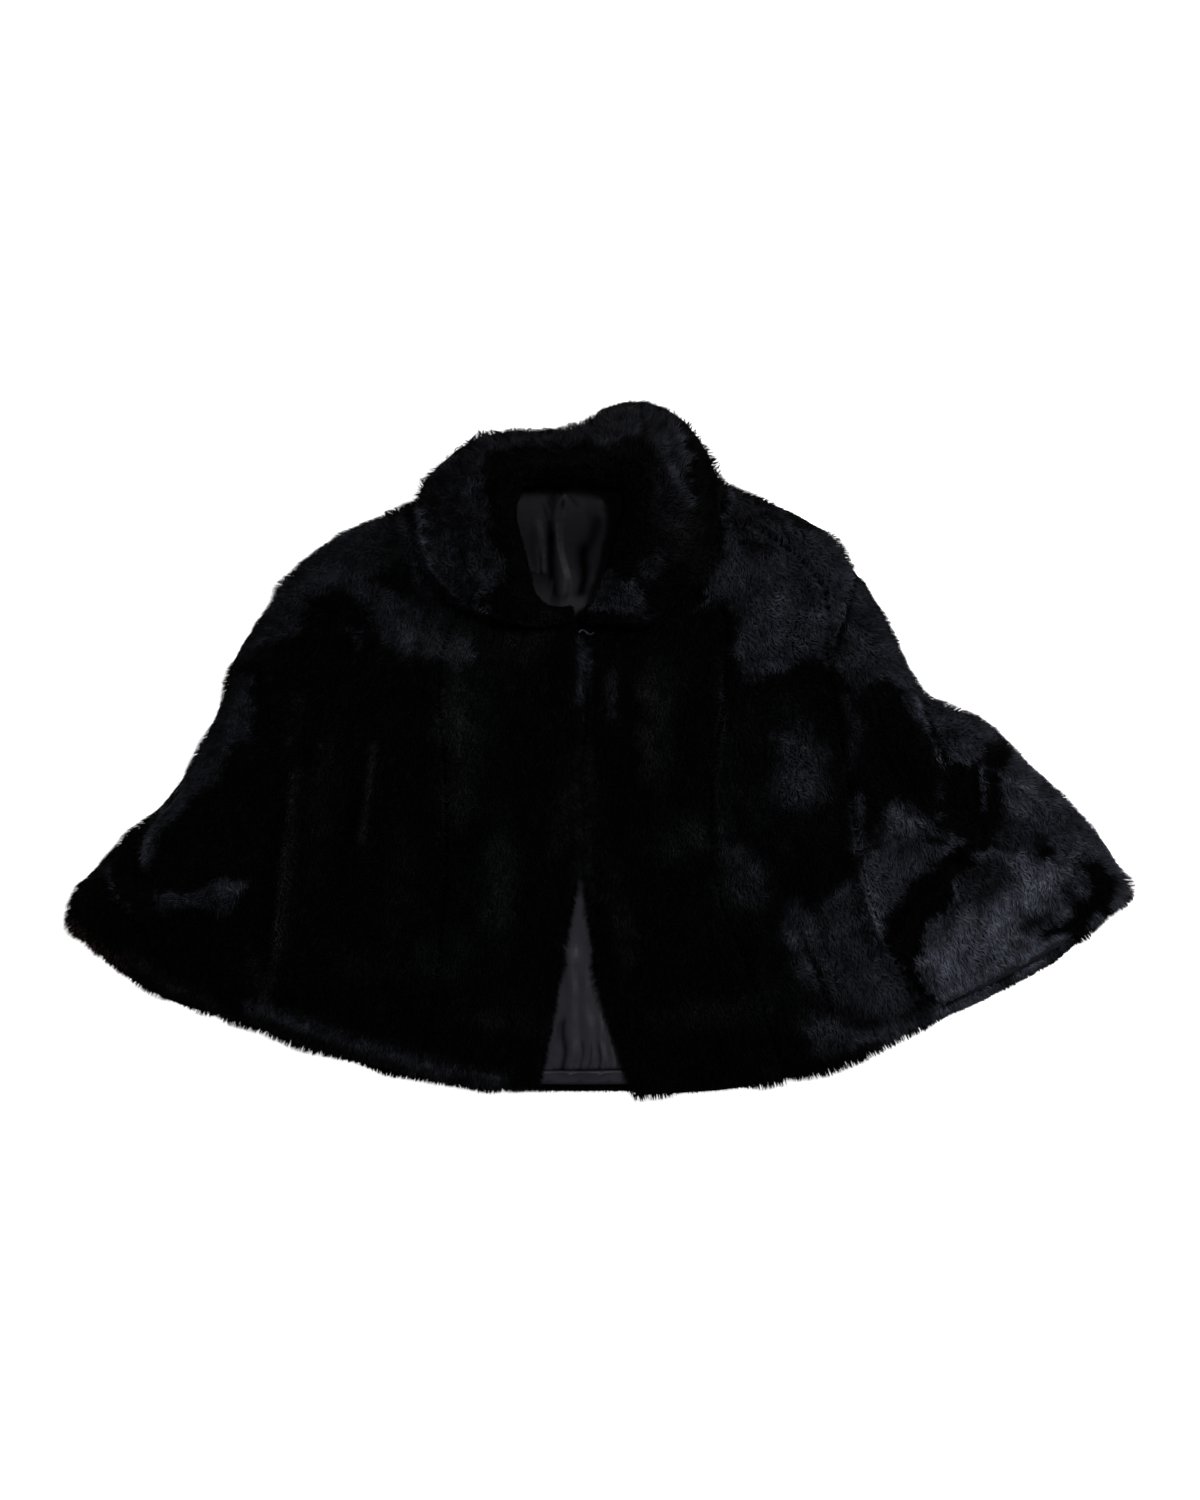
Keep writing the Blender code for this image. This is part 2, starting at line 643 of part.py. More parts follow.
def hook(material):
    """The fastened hook: a flat wire loop across the front edges."""
    points, faces = [], []
    sides, count = HOOK_SIDES, HOOK_STEPS
    base = FRONT_TOP + SEAM_GAP + HOOK_WIRE / 2
    for k in range(count + 1):
        f = k / count
        x = HOOK_PLACE[0] + HOOK_LENGTH * (f - 0.5)
        y = HOOK_PLACE[1] + HOOK_WAVE * math.sin(2 * math.pi * f)
        slope = HOOK_WAVE * 2 * math.pi / HOOK_LENGTH * math.cos(2 * math.pi * f)
        across = unit(np.array((-slope, 1.0)))
        for s in range(sides):
            angle = 2 * math.pi * (s + 0.5) / sides
            side = HOOK_WIRE / 2 * math.cos(angle)
            points.append((x + across[0] * side, y + across[1] * side,
                           base + HOOK_WIRE / 2 * math.sin(angle)))
    for k in range(count):
        for s in range(sides):
            a, b = k * sides + s, k * sides + (s + 1) % sides
            faces.append((a, b, b + sides, a + sides))
    faces.append(tuple(range(sides - 1, -1, -1)))
    faces.append(tuple(count * sides + s for s in range(sides)))
    return solid("neck_hook", np.array(points) * MM, faces, material)


def centre_on_origin():
    """Puts the middle of the garment's box over the origin."""
    corners = [np.array(v.co) for item in bpy.data.objects for v in item.data.vertices]
    middle = (np.min(corners, axis=0) + np.max(corners, axis=0)) / 2
    for item in bpy.data.objects:
        item.location = (-middle[0], -middle[1], 0)


def clear_scene():
    for item in list(bpy.data.objects):
        bpy.data.objects.remove(item, do_unlink=True)


def main():
    clear_scene()
    fur = make_material("dyed fur", FUR_BLACK, 0.85)
    collar_fur = make_material("collar fur", FUR_BLACK, 0.85)
    lining = make_material("satin", SATIN_BLACK, 0.35)
    steel = make_material("hook steel", HOOK_STEEL, 0.4, 1.0)
    right = Half(RIGHT_LINES, RIGHT_SILHOUETTE, RIGHT_HEM, RIGHT_NECK_SECTIONS, side=-1)
    left = Half(LEFT_LINES, LEFT_SILHOUETTE, LEFT_HEM, LEFT_NECK_SECTIONS, side=1)
    back_panel(right, left, fur)
    back_length = BACK_NECK[1] - BACK_HEM[len(BACK_HEM) // 2][1]
    lining_rows = [(BACK_NECK[1] - y) / back_length for y in LINING_ROWS_Y] + [LINING_END]
    satin("back_lining", right, left, lining_rows, lining)
    facing(right, left, lining)
    for side_name, half in (("right", right), ("left", left)):
        for gore, gore_name in enumerate(("centre", "side_front", "side")):
            outer, inner = gore_grids(half, gore)
            wall(f"{side_name}_{gore_name}_gore", outer, inner, fur)
    collar_half("collar_right", 0, COLLAR_JOIN, -HALF_SEAM, collar_fur)
    collar_half("collar_left", COLLAR_JOIN, len(COLLAR) - 1, HALF_SEAM, collar_fur)
    hook(steel)
    centre_on_origin()


main()
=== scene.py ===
import math

import bmesh
import bpy
import numpy as np
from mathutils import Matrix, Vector, noise
from mathutils.bvhtree import BVHTree
from mathutils.kdtree import KDTree


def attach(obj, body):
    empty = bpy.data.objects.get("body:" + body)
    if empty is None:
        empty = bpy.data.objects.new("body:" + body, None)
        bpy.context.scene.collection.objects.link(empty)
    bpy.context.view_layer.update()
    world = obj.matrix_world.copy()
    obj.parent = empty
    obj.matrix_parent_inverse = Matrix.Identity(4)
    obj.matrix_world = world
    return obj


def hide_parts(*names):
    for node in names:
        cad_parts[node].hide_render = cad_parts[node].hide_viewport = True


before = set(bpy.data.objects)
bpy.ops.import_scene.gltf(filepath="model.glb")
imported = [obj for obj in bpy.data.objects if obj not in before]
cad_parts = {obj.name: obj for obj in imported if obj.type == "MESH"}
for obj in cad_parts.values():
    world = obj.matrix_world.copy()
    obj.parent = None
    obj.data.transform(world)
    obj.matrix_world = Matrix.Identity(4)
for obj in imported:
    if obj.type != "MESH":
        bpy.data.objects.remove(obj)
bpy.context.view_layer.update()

mm = 0.001
sameMm = {"grid": 0.01, "weld": 0.02}   # corners of a solid this near each other are one
finerLevels = 2                         # each level makes four faces of one

# A black fur capelet, laid flat on its back. Tables are in millimetres, in the frame of the model:
# +X is right, +Y is towards the collar, +Z is up. Each fur panel is a skin with its pile on it.


def smooth(t):
    t = np.clip(t, 0.0, 1.0)
    return t * t * (3 - 2 * t)


def linearFrom(hexText):
    channels = [int(hexText[k:k + 2], 16) / 255 for k in (1, 3, 5)]
    return tuple(c / 12.92 if c <= 0.04045 else ((c + 0.055) / 1.055) ** 2.4 for c in channels)


def addNode(tree, kind, settings=None, links=None):
    node = tree.nodes.new(kind)
    for name, value in (settings or {}).items():
        if isinstance(name, str) and hasattr(node, name):
            setattr(node, name, value)
        else:
            node.inputs[name].default_value = value
    for name, socket in (links or {}).items():
        tree.links.new(socket, node.inputs[name])
    return node


def newMaterial(name):
    material = bpy.data.materials.new(name)
    material.use_nodes = True
    tree = material.node_tree
    tree.nodes.clear()
    shader = addNode(tree, "ShaderNodeBsdfPrincipled")
    output = addNode(tree, "ShaderNodeOutputMaterial")
    tree.links.new(shader.outputs["BSDF"], output.inputs["Surface"])
    return material, tree, shader


# Materials

furLook = {
    "grainMm": 0.9,       # a hair is 0.02 mm thick; the grain is drawn as coarse as it needs to show
    "grainDepthMm": 0.4,
    "grainStrength": 0.5,
    "patchMm": 16.0,      # how far apart the darker and lighter patches of pile are
    "patchTone": (0.62, 1.38),
    "roughness": 0.75,
    "specular": 0.02,
}


def shearedRabbitFur():  # rabbit pelt, sheared and dyed black: dull and deep; its soft slate sheen and its shade are painted into the colour it reads from its locks
    material, tree, shader = newMaterial("shearedRabbitFur")
    place = addNode(tree, "ShaderNodeTexCoord").outputs["Object"]
    # the pile's colour carries painted sheen and painted shade as well as its own tone
    tone = addNode(tree, "ShaderNodeAttribute", {"attribute_name": "pileToneAndPaintedLight"})
    patches = addNode(tree, "ShaderNodeTexNoise", {"Scale": 1000 / furLook["patchMm"], "Detail": 3.0},
                      {"Vector": place})
    darker, lighter = furLook["patchTone"]
    spread = addNode(tree, "ShaderNodeMapRange", {"From Min": 0.3, "From Max": 0.7, "To Min": darker,
                                                  "To Max": lighter}, {"Value": patches.outputs["Fac"]})
    toned = addNode(tree, "ShaderNodeVectorMath", {"operation": "SCALE"},
                    {0: tone.outputs["Color"], "Scale": spread.outputs["Result"]})
    tree.links.new(toned.outputs["Vector"], shader.inputs["Base Color"])
    grain = addNode(tree, "ShaderNodeTexNoise", {"Scale": 1000 / furLook["grainMm"], "Detail": 2.0},
                    {"Vector": place})
    bump = addNode(tree, "ShaderNodeBump", {"Strength": furLook["grainStrength"],
                                            "Distance": furLook["grainDepthMm"] * mm},
                   {"Height": grain.outputs["Fac"]})
    tree.links.new(bump.outputs["Normal"], shader.inputs["Normal"])
    shader.inputs["Roughness"].default_value = furLook["roughness"]
    shader.inputs["Specular IOR Level"].default_value = furLook["specular"]
    return material


satinLook = {
    "shade": "#17161b",
    "worn": "#1c1b21",
    "cloudMm": 40.0,      # how far apart its more and less worn places are
    "threadMm": 0.5,      # bands are drawn 2 pi times this apart, as real threads would not show
    "threadBump": (0.08, 0.1),   # strength, and depth in millimetres
    "creaseMm": 7.0,
    "creaseBump": (0.35, 0.5),
    "roughness": 0.42,
    "specular": 0.10,
    "anisotropic": 0.5,
}


def blackSatin():  # woven acetate satin: dark, with a soft purple-grey gleam along its floats
    material, tree, shader = newMaterial("blackSatin")
    place = addNode(tree, "ShaderNodeTexCoord").outputs["Object"]
    cloudy = addNode(tree, "ShaderNodeTexNoise", {"Scale": 1000 / satinLook["cloudMm"], "Detail": 4.0},
                     {"Vector": place})
    shade = addNode(tree, "ShaderNodeMix", {"data_type": "RGBA"}, {0: cloudy.outputs["Fac"]})
    shade.inputs[6].default_value = (*linearFrom(satinLook["shade"]), 1)
    shade.inputs[7].default_value = (*linearFrom(satinLook["worn"]), 1)
    # painted shade in the satin's folds and in the neck, and painted highlights on its ridges, darken or
    # lighten its colour
    paintedOnSatin = addNode(tree, "ShaderNodeAttribute", {"attribute_name": "satinPaintedShadeAndHighlight"})
    deep = addNode(tree, "ShaderNodeVectorMath", {"operation": "MULTIPLY"},
                   {0: shade.outputs[2], 1: paintedOnSatin.outputs["Color"]})
    tree.links.new(deep.outputs["Vector"], shader.inputs["Base Color"])
    # the same painted shade and highlight scale its gleam, as a painted reflection
    gleam = addNode(tree, "ShaderNodeMath", {"operation": "MULTIPLY", 1: satinLook["specular"]},
                    {0: paintedOnSatin.outputs["Fac"]})
    tree.links.new(gleam.outputs["Value"], shader.inputs["Specular IOR Level"])
    waveFactor = 20   # a wave texture multiplies each place by this
    threads = addNode(tree, "ShaderNodeTexWave", {"Scale": 1000 / satinLook["threadMm"] / waveFactor,
                                                  "Distortion": 0.6, "Detail": 1.0}, {"Vector": place})
    creases = addNode(tree, "ShaderNodeTexNoise", {"Scale": 1000 / satinLook["creaseMm"], "Detail": 3.0},
                      {"Vector": place})
    strength, depthMm = satinLook["threadBump"]
    fine = addNode(tree, "ShaderNodeBump", {"Strength": strength, "Distance": depthMm * mm},
                   {"Height": threads.outputs["Fac"]})
    strength, depthMm = satinLook["creaseBump"]
    soft = addNode(tree, "ShaderNodeBump", {"Strength": strength, "Distance": depthMm * mm},
                   {"Height": creases.outputs["Fac"], "Normal": fine.outputs["Normal"]})
    tree.links.new(soft.outputs["Normal"], shader.inputs["Normal"])
    shader.inputs["Roughness"].default_value = satinLook["roughness"]
    shader.inputs["Anisotropic"].default_value = satinLook["anisotropic"]
    return material


wireLook = {
    "lacquer": "#101013",
    "bare": "#6a6a70",
    "wearMm": 1.5,
    "wornFrom": (0.6, 0.72),   # bare where the noise is over the second
    "roughness": 0.28,
}


def lacqueredSteelWire():  # drawn steel wire, dipped in black lacquer: glossy, worn bare in places
    material, tree, shader = newMaterial("lacqueredSteelWire")
    place = addNode(tree, "ShaderNodeTexCoord").outputs["Object"]
    wear = addNode(tree, "ShaderNodeTexNoise", {"Scale": 1000 / wireLook["wearMm"], "Detail": 3.0},
                   {"Vector": place})
    least, most = wireLook["wornFrom"]
    worn = addNode(tree, "ShaderNodeMapRange", {"From Min": least, "From Max": most},
                   {"Value": wear.outputs["Fac"]})
    shade = addNode(tree, "ShaderNodeMix", {"data_type": "RGBA"}, {0: worn.outputs["Result"]})
    shade.inputs[6].default_value = (*linearFrom(wireLook["lacquer"]), 1)
    shade.inputs[7].default_value = (*linearFrom(wireLook["bare"]), 1)
    tree.links.new(shade.outputs[2], shader.inputs["Base Color"])
    tree.links.new(worn.outputs["Result"], shader.inputs["Metallic"])
    shader.inputs["Roughness"].default_value = wireLook["roughness"]
    return material


# Painted light on the pile: painted sheen where the nap lies towards the light, and painted shade

toneAndPaintedLight = {
    "black": "#030304",
    "slate": "#34363e",   # painted sheen, where the nap lies towards the light
    "moss": "#151a18",    # the dull green-grey of a thin painted sheen on the middle
    "ash": "#1b1b1c",     # and the neutral grey of painted highlights, in streaks and on ridges
    "brown": "#4c3835",   # hair tips that the sun has faded
    "rootPaintedShade": 0.5,     # painted shade at the foot of a lock and on the skin, and painted light at its tip: how light each is
    "tipPaintedLight": 1.25,
    "areas": (
        # painted sheen and painted shade on the pile: outline, softness of its edge, strength, shade; a
        # strength below 0 takes light away, as painted shade
        (((85, 195), (89, 187), (104, 182), (120, 176), (139, 161), (161, 158), (184, 126),
          (210, 81), (240, 36), (234, 19), (225, 28), (217, 43), (199, 53), (186, 40), (176, 47),
          (158, 66), (139, 60), (120, 53), (102, 53), (97, 77), (98, 107), (79, 106), (66, 99),
          (64, 114), (79, 126), (81, 161)),
         3.5, 0.35, "slate"),  # left shoulder
        (((129, 12), (152, 17), (163, -5), (165, -34), (149, -48), (129, -42), (122, -22),
          (132, -5)),
         7.0, 0.26, "slate"),  # left breast
        (((102, 42), (143, 35), (172, 6), (176, -37), (165, -66), (129, -73), (107, -51),
          (102, -8)),
         8.5, 0.09, "moss"),  # a dull ring round it
        (((91, -74), (107, -71), (117, -94), (112, -114), (96, -109)),
         6.5, 0.2, "slate"),  # beside the left princess seam
        (((132, -120), (143, -109), (155, -138), (156, -163), (148, -169), (136, -152)),
         5.5, 0.35, "slate"),  # left side front gore, low down
        (((140, -132), (166, -103), (185, -86), (194, -81), (201, -133), (219, -156), (231, -184),
          (207, -192), (172, -194), (162, -188), (152, -161)),
         4.5, 0.36, "slate"),  # the same gore, over the hem
        (((205, -45), (210, -41), (219, -41), (228, -48), (237, -55), (248, -62), (260, -63),
          (263, -69), (255, -77), (244, -80), (233, -86), (224, -94), (215, -109), (208, -120),
          (201, -130), (192, -109), (188, -87), (195, -73), (201, -62)),
         4, 0.62, "slate"),  # left side gore, over its front fold
        (((231, 37), (251, 32), (276, 19), (289, 5), (276, 2), (273, -12), (264, -15), (251, -17),
          (244, 3), (237, 19)),
         3, 0.42, "slate"),  # left side, where the fold laps over
        (((298, 6), (327, -22), (352, -51), (381, -80), (382, -88), (359, -90), (348, -83),
          (330, -80), (320, -67), (305, -48), (291, -31), (287, -15)),
         3.5, 0.6, "slate"),  # left side, at its edge
        (((280, -19), (309, -30), (316, -66), (310, -81), (287, -74), (280, -51)),
         3.5, 0.31, "slate"),  # left side, further in
        (((274, -74), (287, -73), (316, -81), (341, -86), (354, -98), (352, -112), (361, -120),
          (365, -127), (348, -134), (330, -141), (302, -156), (273, -170), (248, -183),
          (231, -172), (223, -159), (226, -148), (237, -127), (248, -105), (262, -86)),
         2.5, 0.95, "slate"),  # left hem panel
        (((248, -117), (262, -84), (287, -76), (300, -84), (294, -103), (269, -112)),
         5, -0.75, "slate"),  # and painted shade over its top
        (((263, -70), (278, -71), (261, -84), (248, -104), (235, -125), (226, -145), (224, -158),
          (238, -185), (243, -188), (225, -175), (217, -152), (205, -135), (209, -127),
          (223, -107), (233, -90), (248, -81)),
         2, -4, "slate"),  # painted shade in the valley beside it
        (((248, -16), (269, -12), (275, -30), (276, -62), (262, -64), (251, -58), (244, -37)),
         3, -1.2, "slate"),  # painted shade in the hollow between those two
        (((-217, 142), (-185, 162), (-156, 174), (-139, 169), (-130, 150), (-127, 122), (-116, 99),
          (-93, 81), (-90, 64), (-104, 58), (-127, 64), (-142, 67), (-156, 76), (-162, 93),
          (-174, 109), (-197, 113), (-211, 104), (-219, 84), (-240, 75), (-251, 72), (-263, 64)),
         4, 0.26, "slate"),  # right shoulder
        (((-156, 150), (-138, 147), (-133, 122), (-145, 110), (-162, 118)),
         5, -0.3, "slate"),  # and a patch of painted shade on it
        (((-148, 80), (-136, 83), (-130, 73), (-136, 63), (-146, 66)),
         3.5, 0.2, "slate"),  # below the right shoulder
        (((-179, 89), (-174, 90), (-171, 73), (-176, 70)),
         3, 0.27, "slate"),  # and beside that
        (((-269, 48), (-251, 50), (-252, 8), (-261, 6), (-278, -24), (-302, -45), (-318, -61),
          (-325, -86), (-330, -85), (-329, -66), (-315, -42), (-296, -13), (-285, 8), (-274, 24)),
         3, 0.31, "slate"),  # right side fold
        (((-322, -107), (-310, -105), (-288, -101), (-275, -96), (-259, -94), (-250, -98),
          (-256, -107), (-264, -116), (-272, -121), (-283, -117), (-302, -116), (-319, -117)),
         2.3, 0.33, "slate"),  # right hem crest
        (((-277, -99), (-261, -94), (-251, -99), (-258, -107), (-273, -107)),
         3, 0.35, "slate"),  # and its brighter end
        (((-130, 181), (-125, 199), (-114, 209), (-99, 214), (-86, 225), (-75, 228), (-68, 225),
          (-67, 218), (-76, 215), (-82, 207), (-86, 196), (-81, 181), (-77, 168), (-76, 152),
          (-67, 128), (-71, 115), (-84, 112), (-89, 107), (-82, 96), (-89, 96), (-101, 102),
          (-114, 113), (-125, 122), (-128, 137), (-131, 153), (-133, 166)),
         3, 0.19, "slate"),  # collar, right fall
        (((-66, 225), (-56, 224), (-45, 225), (-35, 225), (-19, 229), (-5, 231), (3, 238),
          (14, 246), (27, 248), (40, 246), (54, 238), (60, 228), (63, 215), (67, 194), (73, 178),
          (61, 178), (54, 191), (48, 207), (40, 218), (32, 222), (21, 225), (14, 224), (3, 218),
          (-16, 217), (-35, 218), (-53, 217), (-64, 218)),
         3, 0.22, "slate"),  # collar, the roll at the back
        (((39, 215), (64, 212), (73, 176), (64, 158), (42, 150), (35, 179)),
         6.5, 0.05, "slate"),  # collar, left of the roll
        (((28, 139), (42, 142), (48, 127), (35, 116), (27, 122)),
         3.5, 0.1, "slate"),  # collar, left fall
        (((-9, 128), (6, 130), (17, 122), (32, 107), (30, 96), (12, 94), (-9, 102)),
         3, 0.27, "slate"),  # collar, the end of its left fall
        (((-77, 214), (-58, 216), (-30, 215), (2, 215), (28, 217), (35, 201), (33, 179), (37, 150),
          (27, 139), (8, 132), (-9, 127), (-9, 91), (-58, 87), (-68, 107), (-64, 128), (-74, 152),
          (-78, 179), (-84, 196), (-81, 207)),
         2.5, -4, "slate"),  # collar, painted shade on its inside
        (((64, 233), (73, 222), (83, 208), (87, 179), (84, 136), (74, 114), (60, 94), (45, 99),
          (64, 129), (73, 165), (68, 194), (64, 215)),
         3, -4, "slate"),  # collar, painted shade on its left edge, which faces away from the light
    ),
    "spots": (
        # soft spots of painted sheen and painted highlight, and a strength below 0 paints shade: x, y,
        # half length, half width, turn, strength, shade
        (90, -57, 60, 8, 88, 0.27, "moss"),
        (106, -106, 27, 21, 90, 0.20, "moss"),
        (141, -154, 38, 14, -75, 0.20, "moss"),
        (119, -181, 22, 12, 80, 0.20, "moss"),
        (-97, 29, 80, 19, 88, 0.23, "moss"),
        (-74, -97, 42, 13, 88, 0.62, "moss"),
        (-111, -149, 20, 16, 0, 0.27, "moss"),
        (44, 24, 44, 10, 88, 0.27, "moss"),
        (-8, -84, 44, 8, 88, 0.20, "moss"),
        (54, -63, 22, 18, 0, 0.17, "moss"),
        (-144, 140, 18, 14, 0, 0.41, "moss"),
        (-120, 84, 22, 18, 0, 0.34, "moss"),
        (163, -203, 22, 9, -10, 0.50, "slate"),
        (128, 158, 20, 12, 0, -0.08, "slate"),
        (-103, 10, 60, 12, 92, 0.46, "ash"),
        (35, 20, 44, 8, 90, 0.52, "ash"),
        (-12, -40, 70, 6, 90, 0.28, "ash"),
        (-28, -52, 34, 8, 80, 0.20, "ash"),
        (14, -120, 40, 7, 100, 0.30, "ash"),
        (-56, 76, 22, 12, 20, 0.26, "ash"),
        (-200, -40, 60, 8, 84, 0.16, "ash"),
        (-146, -96, 40, 12, 86, 0.12, "ash"),
        (62, -66, 18, 14, 0, 0.22, "ash"),
        (-60, -196, 40, 12, -8, 0.22, "ash"),
        (80, -190, 40, 10, 6, 0.20, "ash"),
        (56, 152, 26, 14, 60, 0.26, "ash"),
        (70, 132, 16, 12, 0, 0.20, "ash"),
        (-160, -158, 30, 12, -10, 0.14, "ash"),
        (320, -118, 16, 10, 20, 0.50, "slate"),
    ),
    "strokes": (
        # painted highlights along lit rims and painted shade along dark lines: path, half width to its
        # left and right, strength
        (((275, 26), (289, 19), (312, -11)), 5, 7, 0.5),
        (((246, -190), (286, -166), (334, -143)), 6, 6, 0.55),
        (((158, -217), (200, -206), (244, -190)), 5, 6, 0.3),
        (((228, 37), (235, 13), (248, -14)), 1.4, 1.4, 0.9),
        (((231.5, 37), (238.5, 13), (251.5, -14)), 1.3, 1.3, -0.6),
        (((184, 125), (178, 107), (172, 89), (168, 75)), 0.8, 3, 0.5),
        (((185, 125), (179, 107), (174, 88), (169, 73)), 2.6, 0.5, -0.6),
        (((275, -14), (275, -47)), 1.2, 1.4, 1.5),
        (((278, -24), (278, -51)), 6, 0.6, -0.8),
        (((191, -90), (195, -112), (202, -135)), 0.8, 2.2, 0.7),
        (((276, -12), (294, -22), (309, -30)), 1.4, 1.4, 0.6),
        (((284, -24), (286, -54)), 6, 6, -0.22),
        (((287, -117), (309, -104), (334, -90)), 10, 9, 0.9),
        (((240, -156), (266, -145), (294, -141)), 14, 10, 0.7),
        (((248, -179), (287, -159), (330, -136)), 3, 3, 0.7),
        (((305, -129), (325, -119)), 5, 5, -1.2),
        (((323, -135), (345, -126)), 5, 6, -1.6),
        (((336, -102), (345, -117)), 5, 5, -0.9),
        (((359, -88), (358, -109), (345, -127)), 5, 6, -2),
        (((377, -82), (382, -98), (374, -112)), 5, 5, 1.0),
        (((246, -191), (287, -175), (320, -155)), 4, 4, 0.75),
        (((283, -6), (287, -6)), 7, 7, -1.1),
        (((246, -24), (246, -37), (244, -48)), 3, 3, 0.45),
        (((212, -53), (224, -55)), 9, 9, 0.35),
        (((-315, -42), (-326, -64), (-330, -84)), 1.8, 1.8, 0.55),
        (((-354, -86), (-353, -97), (-348, -109), (-338, -117)), 1.3, 1.3, 0.5),
        (((-13, 78), (-11, 58), (-15, 35)), 3.6, 3.6, 0.45),
        (((8, 53), (8, 24)), 3.4, 3.4, 0.3),
        (((102, 147), (104, 163), (118, 170), (132, 163), (135, 150)), 1.5, 1.5, -0.35),
        (((107, 147), (120, 145)), 5, 5, -0.3),
        (((176, 35), (185, 14), (179, -15)), 4, 4, 0.12),
        (((185, -37), (184, -73)), 3.4, 3.4, 0.55),
        (((87, 64), (89, 21), (84, -37), (90, -74)), 0.8, 4, 0.12),
        (((142, -129), (154, -156), (166, -188)), 2, 2, -0.5),
        (((201, -210), (237, -197), (280, -181)), 3, 3, 0.35),
        (((-251, -187), (-217, -200), (-162, -219), (-116, -232), (-73, -240)), 6, 5, 0.40),
        (((29, 248), (32, 222)), 1.2, 1.2, -0.3),
        (((54, 233), (64, 201), (70, 181)), 2.2, 2.2, 0.22),
        (((28, 228), (-1, 220)), 1.6, 1.6, 0.15),
        (((-133, 172), (-130, 147), (-125, 125), (-118, 114)), 3, 3, 0.32),
        (((-150, 166), (-146, 140), (-136, 116), (-119, 98), (-100, 85)), 6, 6, -0.22),
        (((-112, 110), (-97, 101), (-82, 96)), 2.2, 2.2, 0.30),
    ),
    "greyStrokes": (
        # painted highlights as above, in ash grey
        (((-223, -22), (-228, -69), (-234, -134)), 8, 0.8, 0.62),
        (((-222, 6), (-217, 35)), 6, 6, 0.2),
        (((-163, 2), (-167, -37), (-171, -66)), 3.0, 3.0, 0.7),
        (((-232, -140), (-238, -172)), 4, 3, 0.35),
        (((-250, -154), (-241, -190)), 6, 6, 0.5),
        (((-340, -150), (-312, -170), (-280, -185)), 5, 5, 0.4),
    ),
    "browned": (
        # path of the faded hair tips, their reach and share
        (((-388, -122), (-365, -144), (-344, -158)), 3.2, 0.8),
        (((386, -90), (384, -112)), 6.0, 0.9),
        (((-42, 96), (-26, 94)), 2.5, 0.25),
    ),
    "spotEdge": 1.6,         # how abruptly a spot ends
    "wander": (20.0, 7.0),   # over such a size the edges of the areas wander so far, in millimetres
    "wanderFine": (4, 0.6),  # and again at a size so many times smaller, by this share
    "mottle": ((36.0, 0.55), (13.0, 0.50), (5.0, 0.45)),   # lighter and darker: size and share
    "tuftMm": 1.1,           # a lock takes its shade from so far beside it
    "most": 2.4,             # and a shade is never stronger than this
}

# Creases in the pile and skin that are finer than the folds of the solids. Height is over the cloth
# beside them; the widths are to the left and right of someone who walks along the path.
relief = (
    # path, height, left width, right width
    (((178, 130), (171, 104), (161, 70)), 4.5, 4, 24),
    (((236, 40), (228, 21), (233, 3), (246, -22)), 5.0, 5, 22),
    (((276, 4), (277, -52)), 5.0, 12, 6),
    (((236, -58), (250, -66), (264, -78)), 6.0, 12, 8),
    (((254, -84), (235, -107), (213, -133)), -7.0, 16, 9),
    (((187, -84), (194, -110), (203, -136)), 4.0, 4, 12),
    (((143, -128), (166, -190)), -3.0, 5, 5),
    (((187, -26), (188, -78)), 3.5, 7, 7),
    (((122, 160), (133, 152), (124, 145), (113, 152)), 2.5, 6, 5),
    (((120, 154), (124, 152)), -3.5, 8, 8),
    (((-300, -22), (-314, -44), (-327, -66), (-330, -80)), 6.0, 22, 5),
    (((-357, -78), (-352, -96), (-336, -118)), 5.0, 18, 5),
    (((-324, -106), (-286, -103), (-252, -100)), 3.0, 10, 9),
    (((-168, -28), (-175, -62)), 3.0, 7, 7),
    (((-205, 108), (-188, 98), (-194, 84)), 3.0, 8, 6),
    (((-262, 80), (-248, 70), (-240, 50)), 3.0, 8, 6),
    (((-233, 118), (-222, 104), (-226, 92)), 2.5, 8, 7),
    (((-120, 96), (-128, 70), (-122, 40)), 2.5, 9, 9),
    (((60, -30), (70, -60), (62, -100)), 2.5, 10, 10),
    (((110, -90), (120, -112), (112, -130)), 3.0, 9, 9),
    (((148, 10), (158, -10), (150, -34)), 3.5, 10, 10),
)


def alongPath(path, x, y):
    nearest, across = np.full(len(x), 1e9), np.zeros(len(x))
    for (ax, ay), (bx, by) in zip(path, path[1:]):
        dx, dy = bx - ax, by - ay
        f = np.clip(((x - ax) * dx + (y - ay) * dy) / (dx * dx + dy * dy), 0, 1)
        px, py = x - ax - f * dx, y - ay - f * dy
        away = np.hypot(px, py)
        across = np.where(away < nearest, dx * py - dy * px, across)
        nearest = np.minimum(nearest, away)
    return nearest, across


def reliefAt(x, y):
    total = np.zeros(len(x))
    for path, height, leftWide, rightWide in relief:
        away, across = alongPath(path, x, y)
        total += height * smooth(1 - away / np.where(across > 0, leftWide, rightWide))
    return total


def noiseAt(places, sizeMm, seed):
    scale = 1 / (sizeMm * mm)
    return np.array([noise.noise(Vector(p) * scale + Vector((seed, 0, 0))) for p in places])


def insideOf(outline, x, y, softMm):
    crossings = np.zeros(len(x), int)
    closed = outline + outline[:1]
    for (ax, ay), (bx, by) in zip(closed, closed[1:]):
        if ay != by:
            spans = (ay > y) != (by > y)
            crossings += spans & (x < ax + (y - ay) * (bx - ax) / (by - ay))
    away = alongPath(closed, x, y)[0] * np.where(crossings % 2 == 1, 1, -1)
    return smooth(0.5 + away / (2 * softMm))


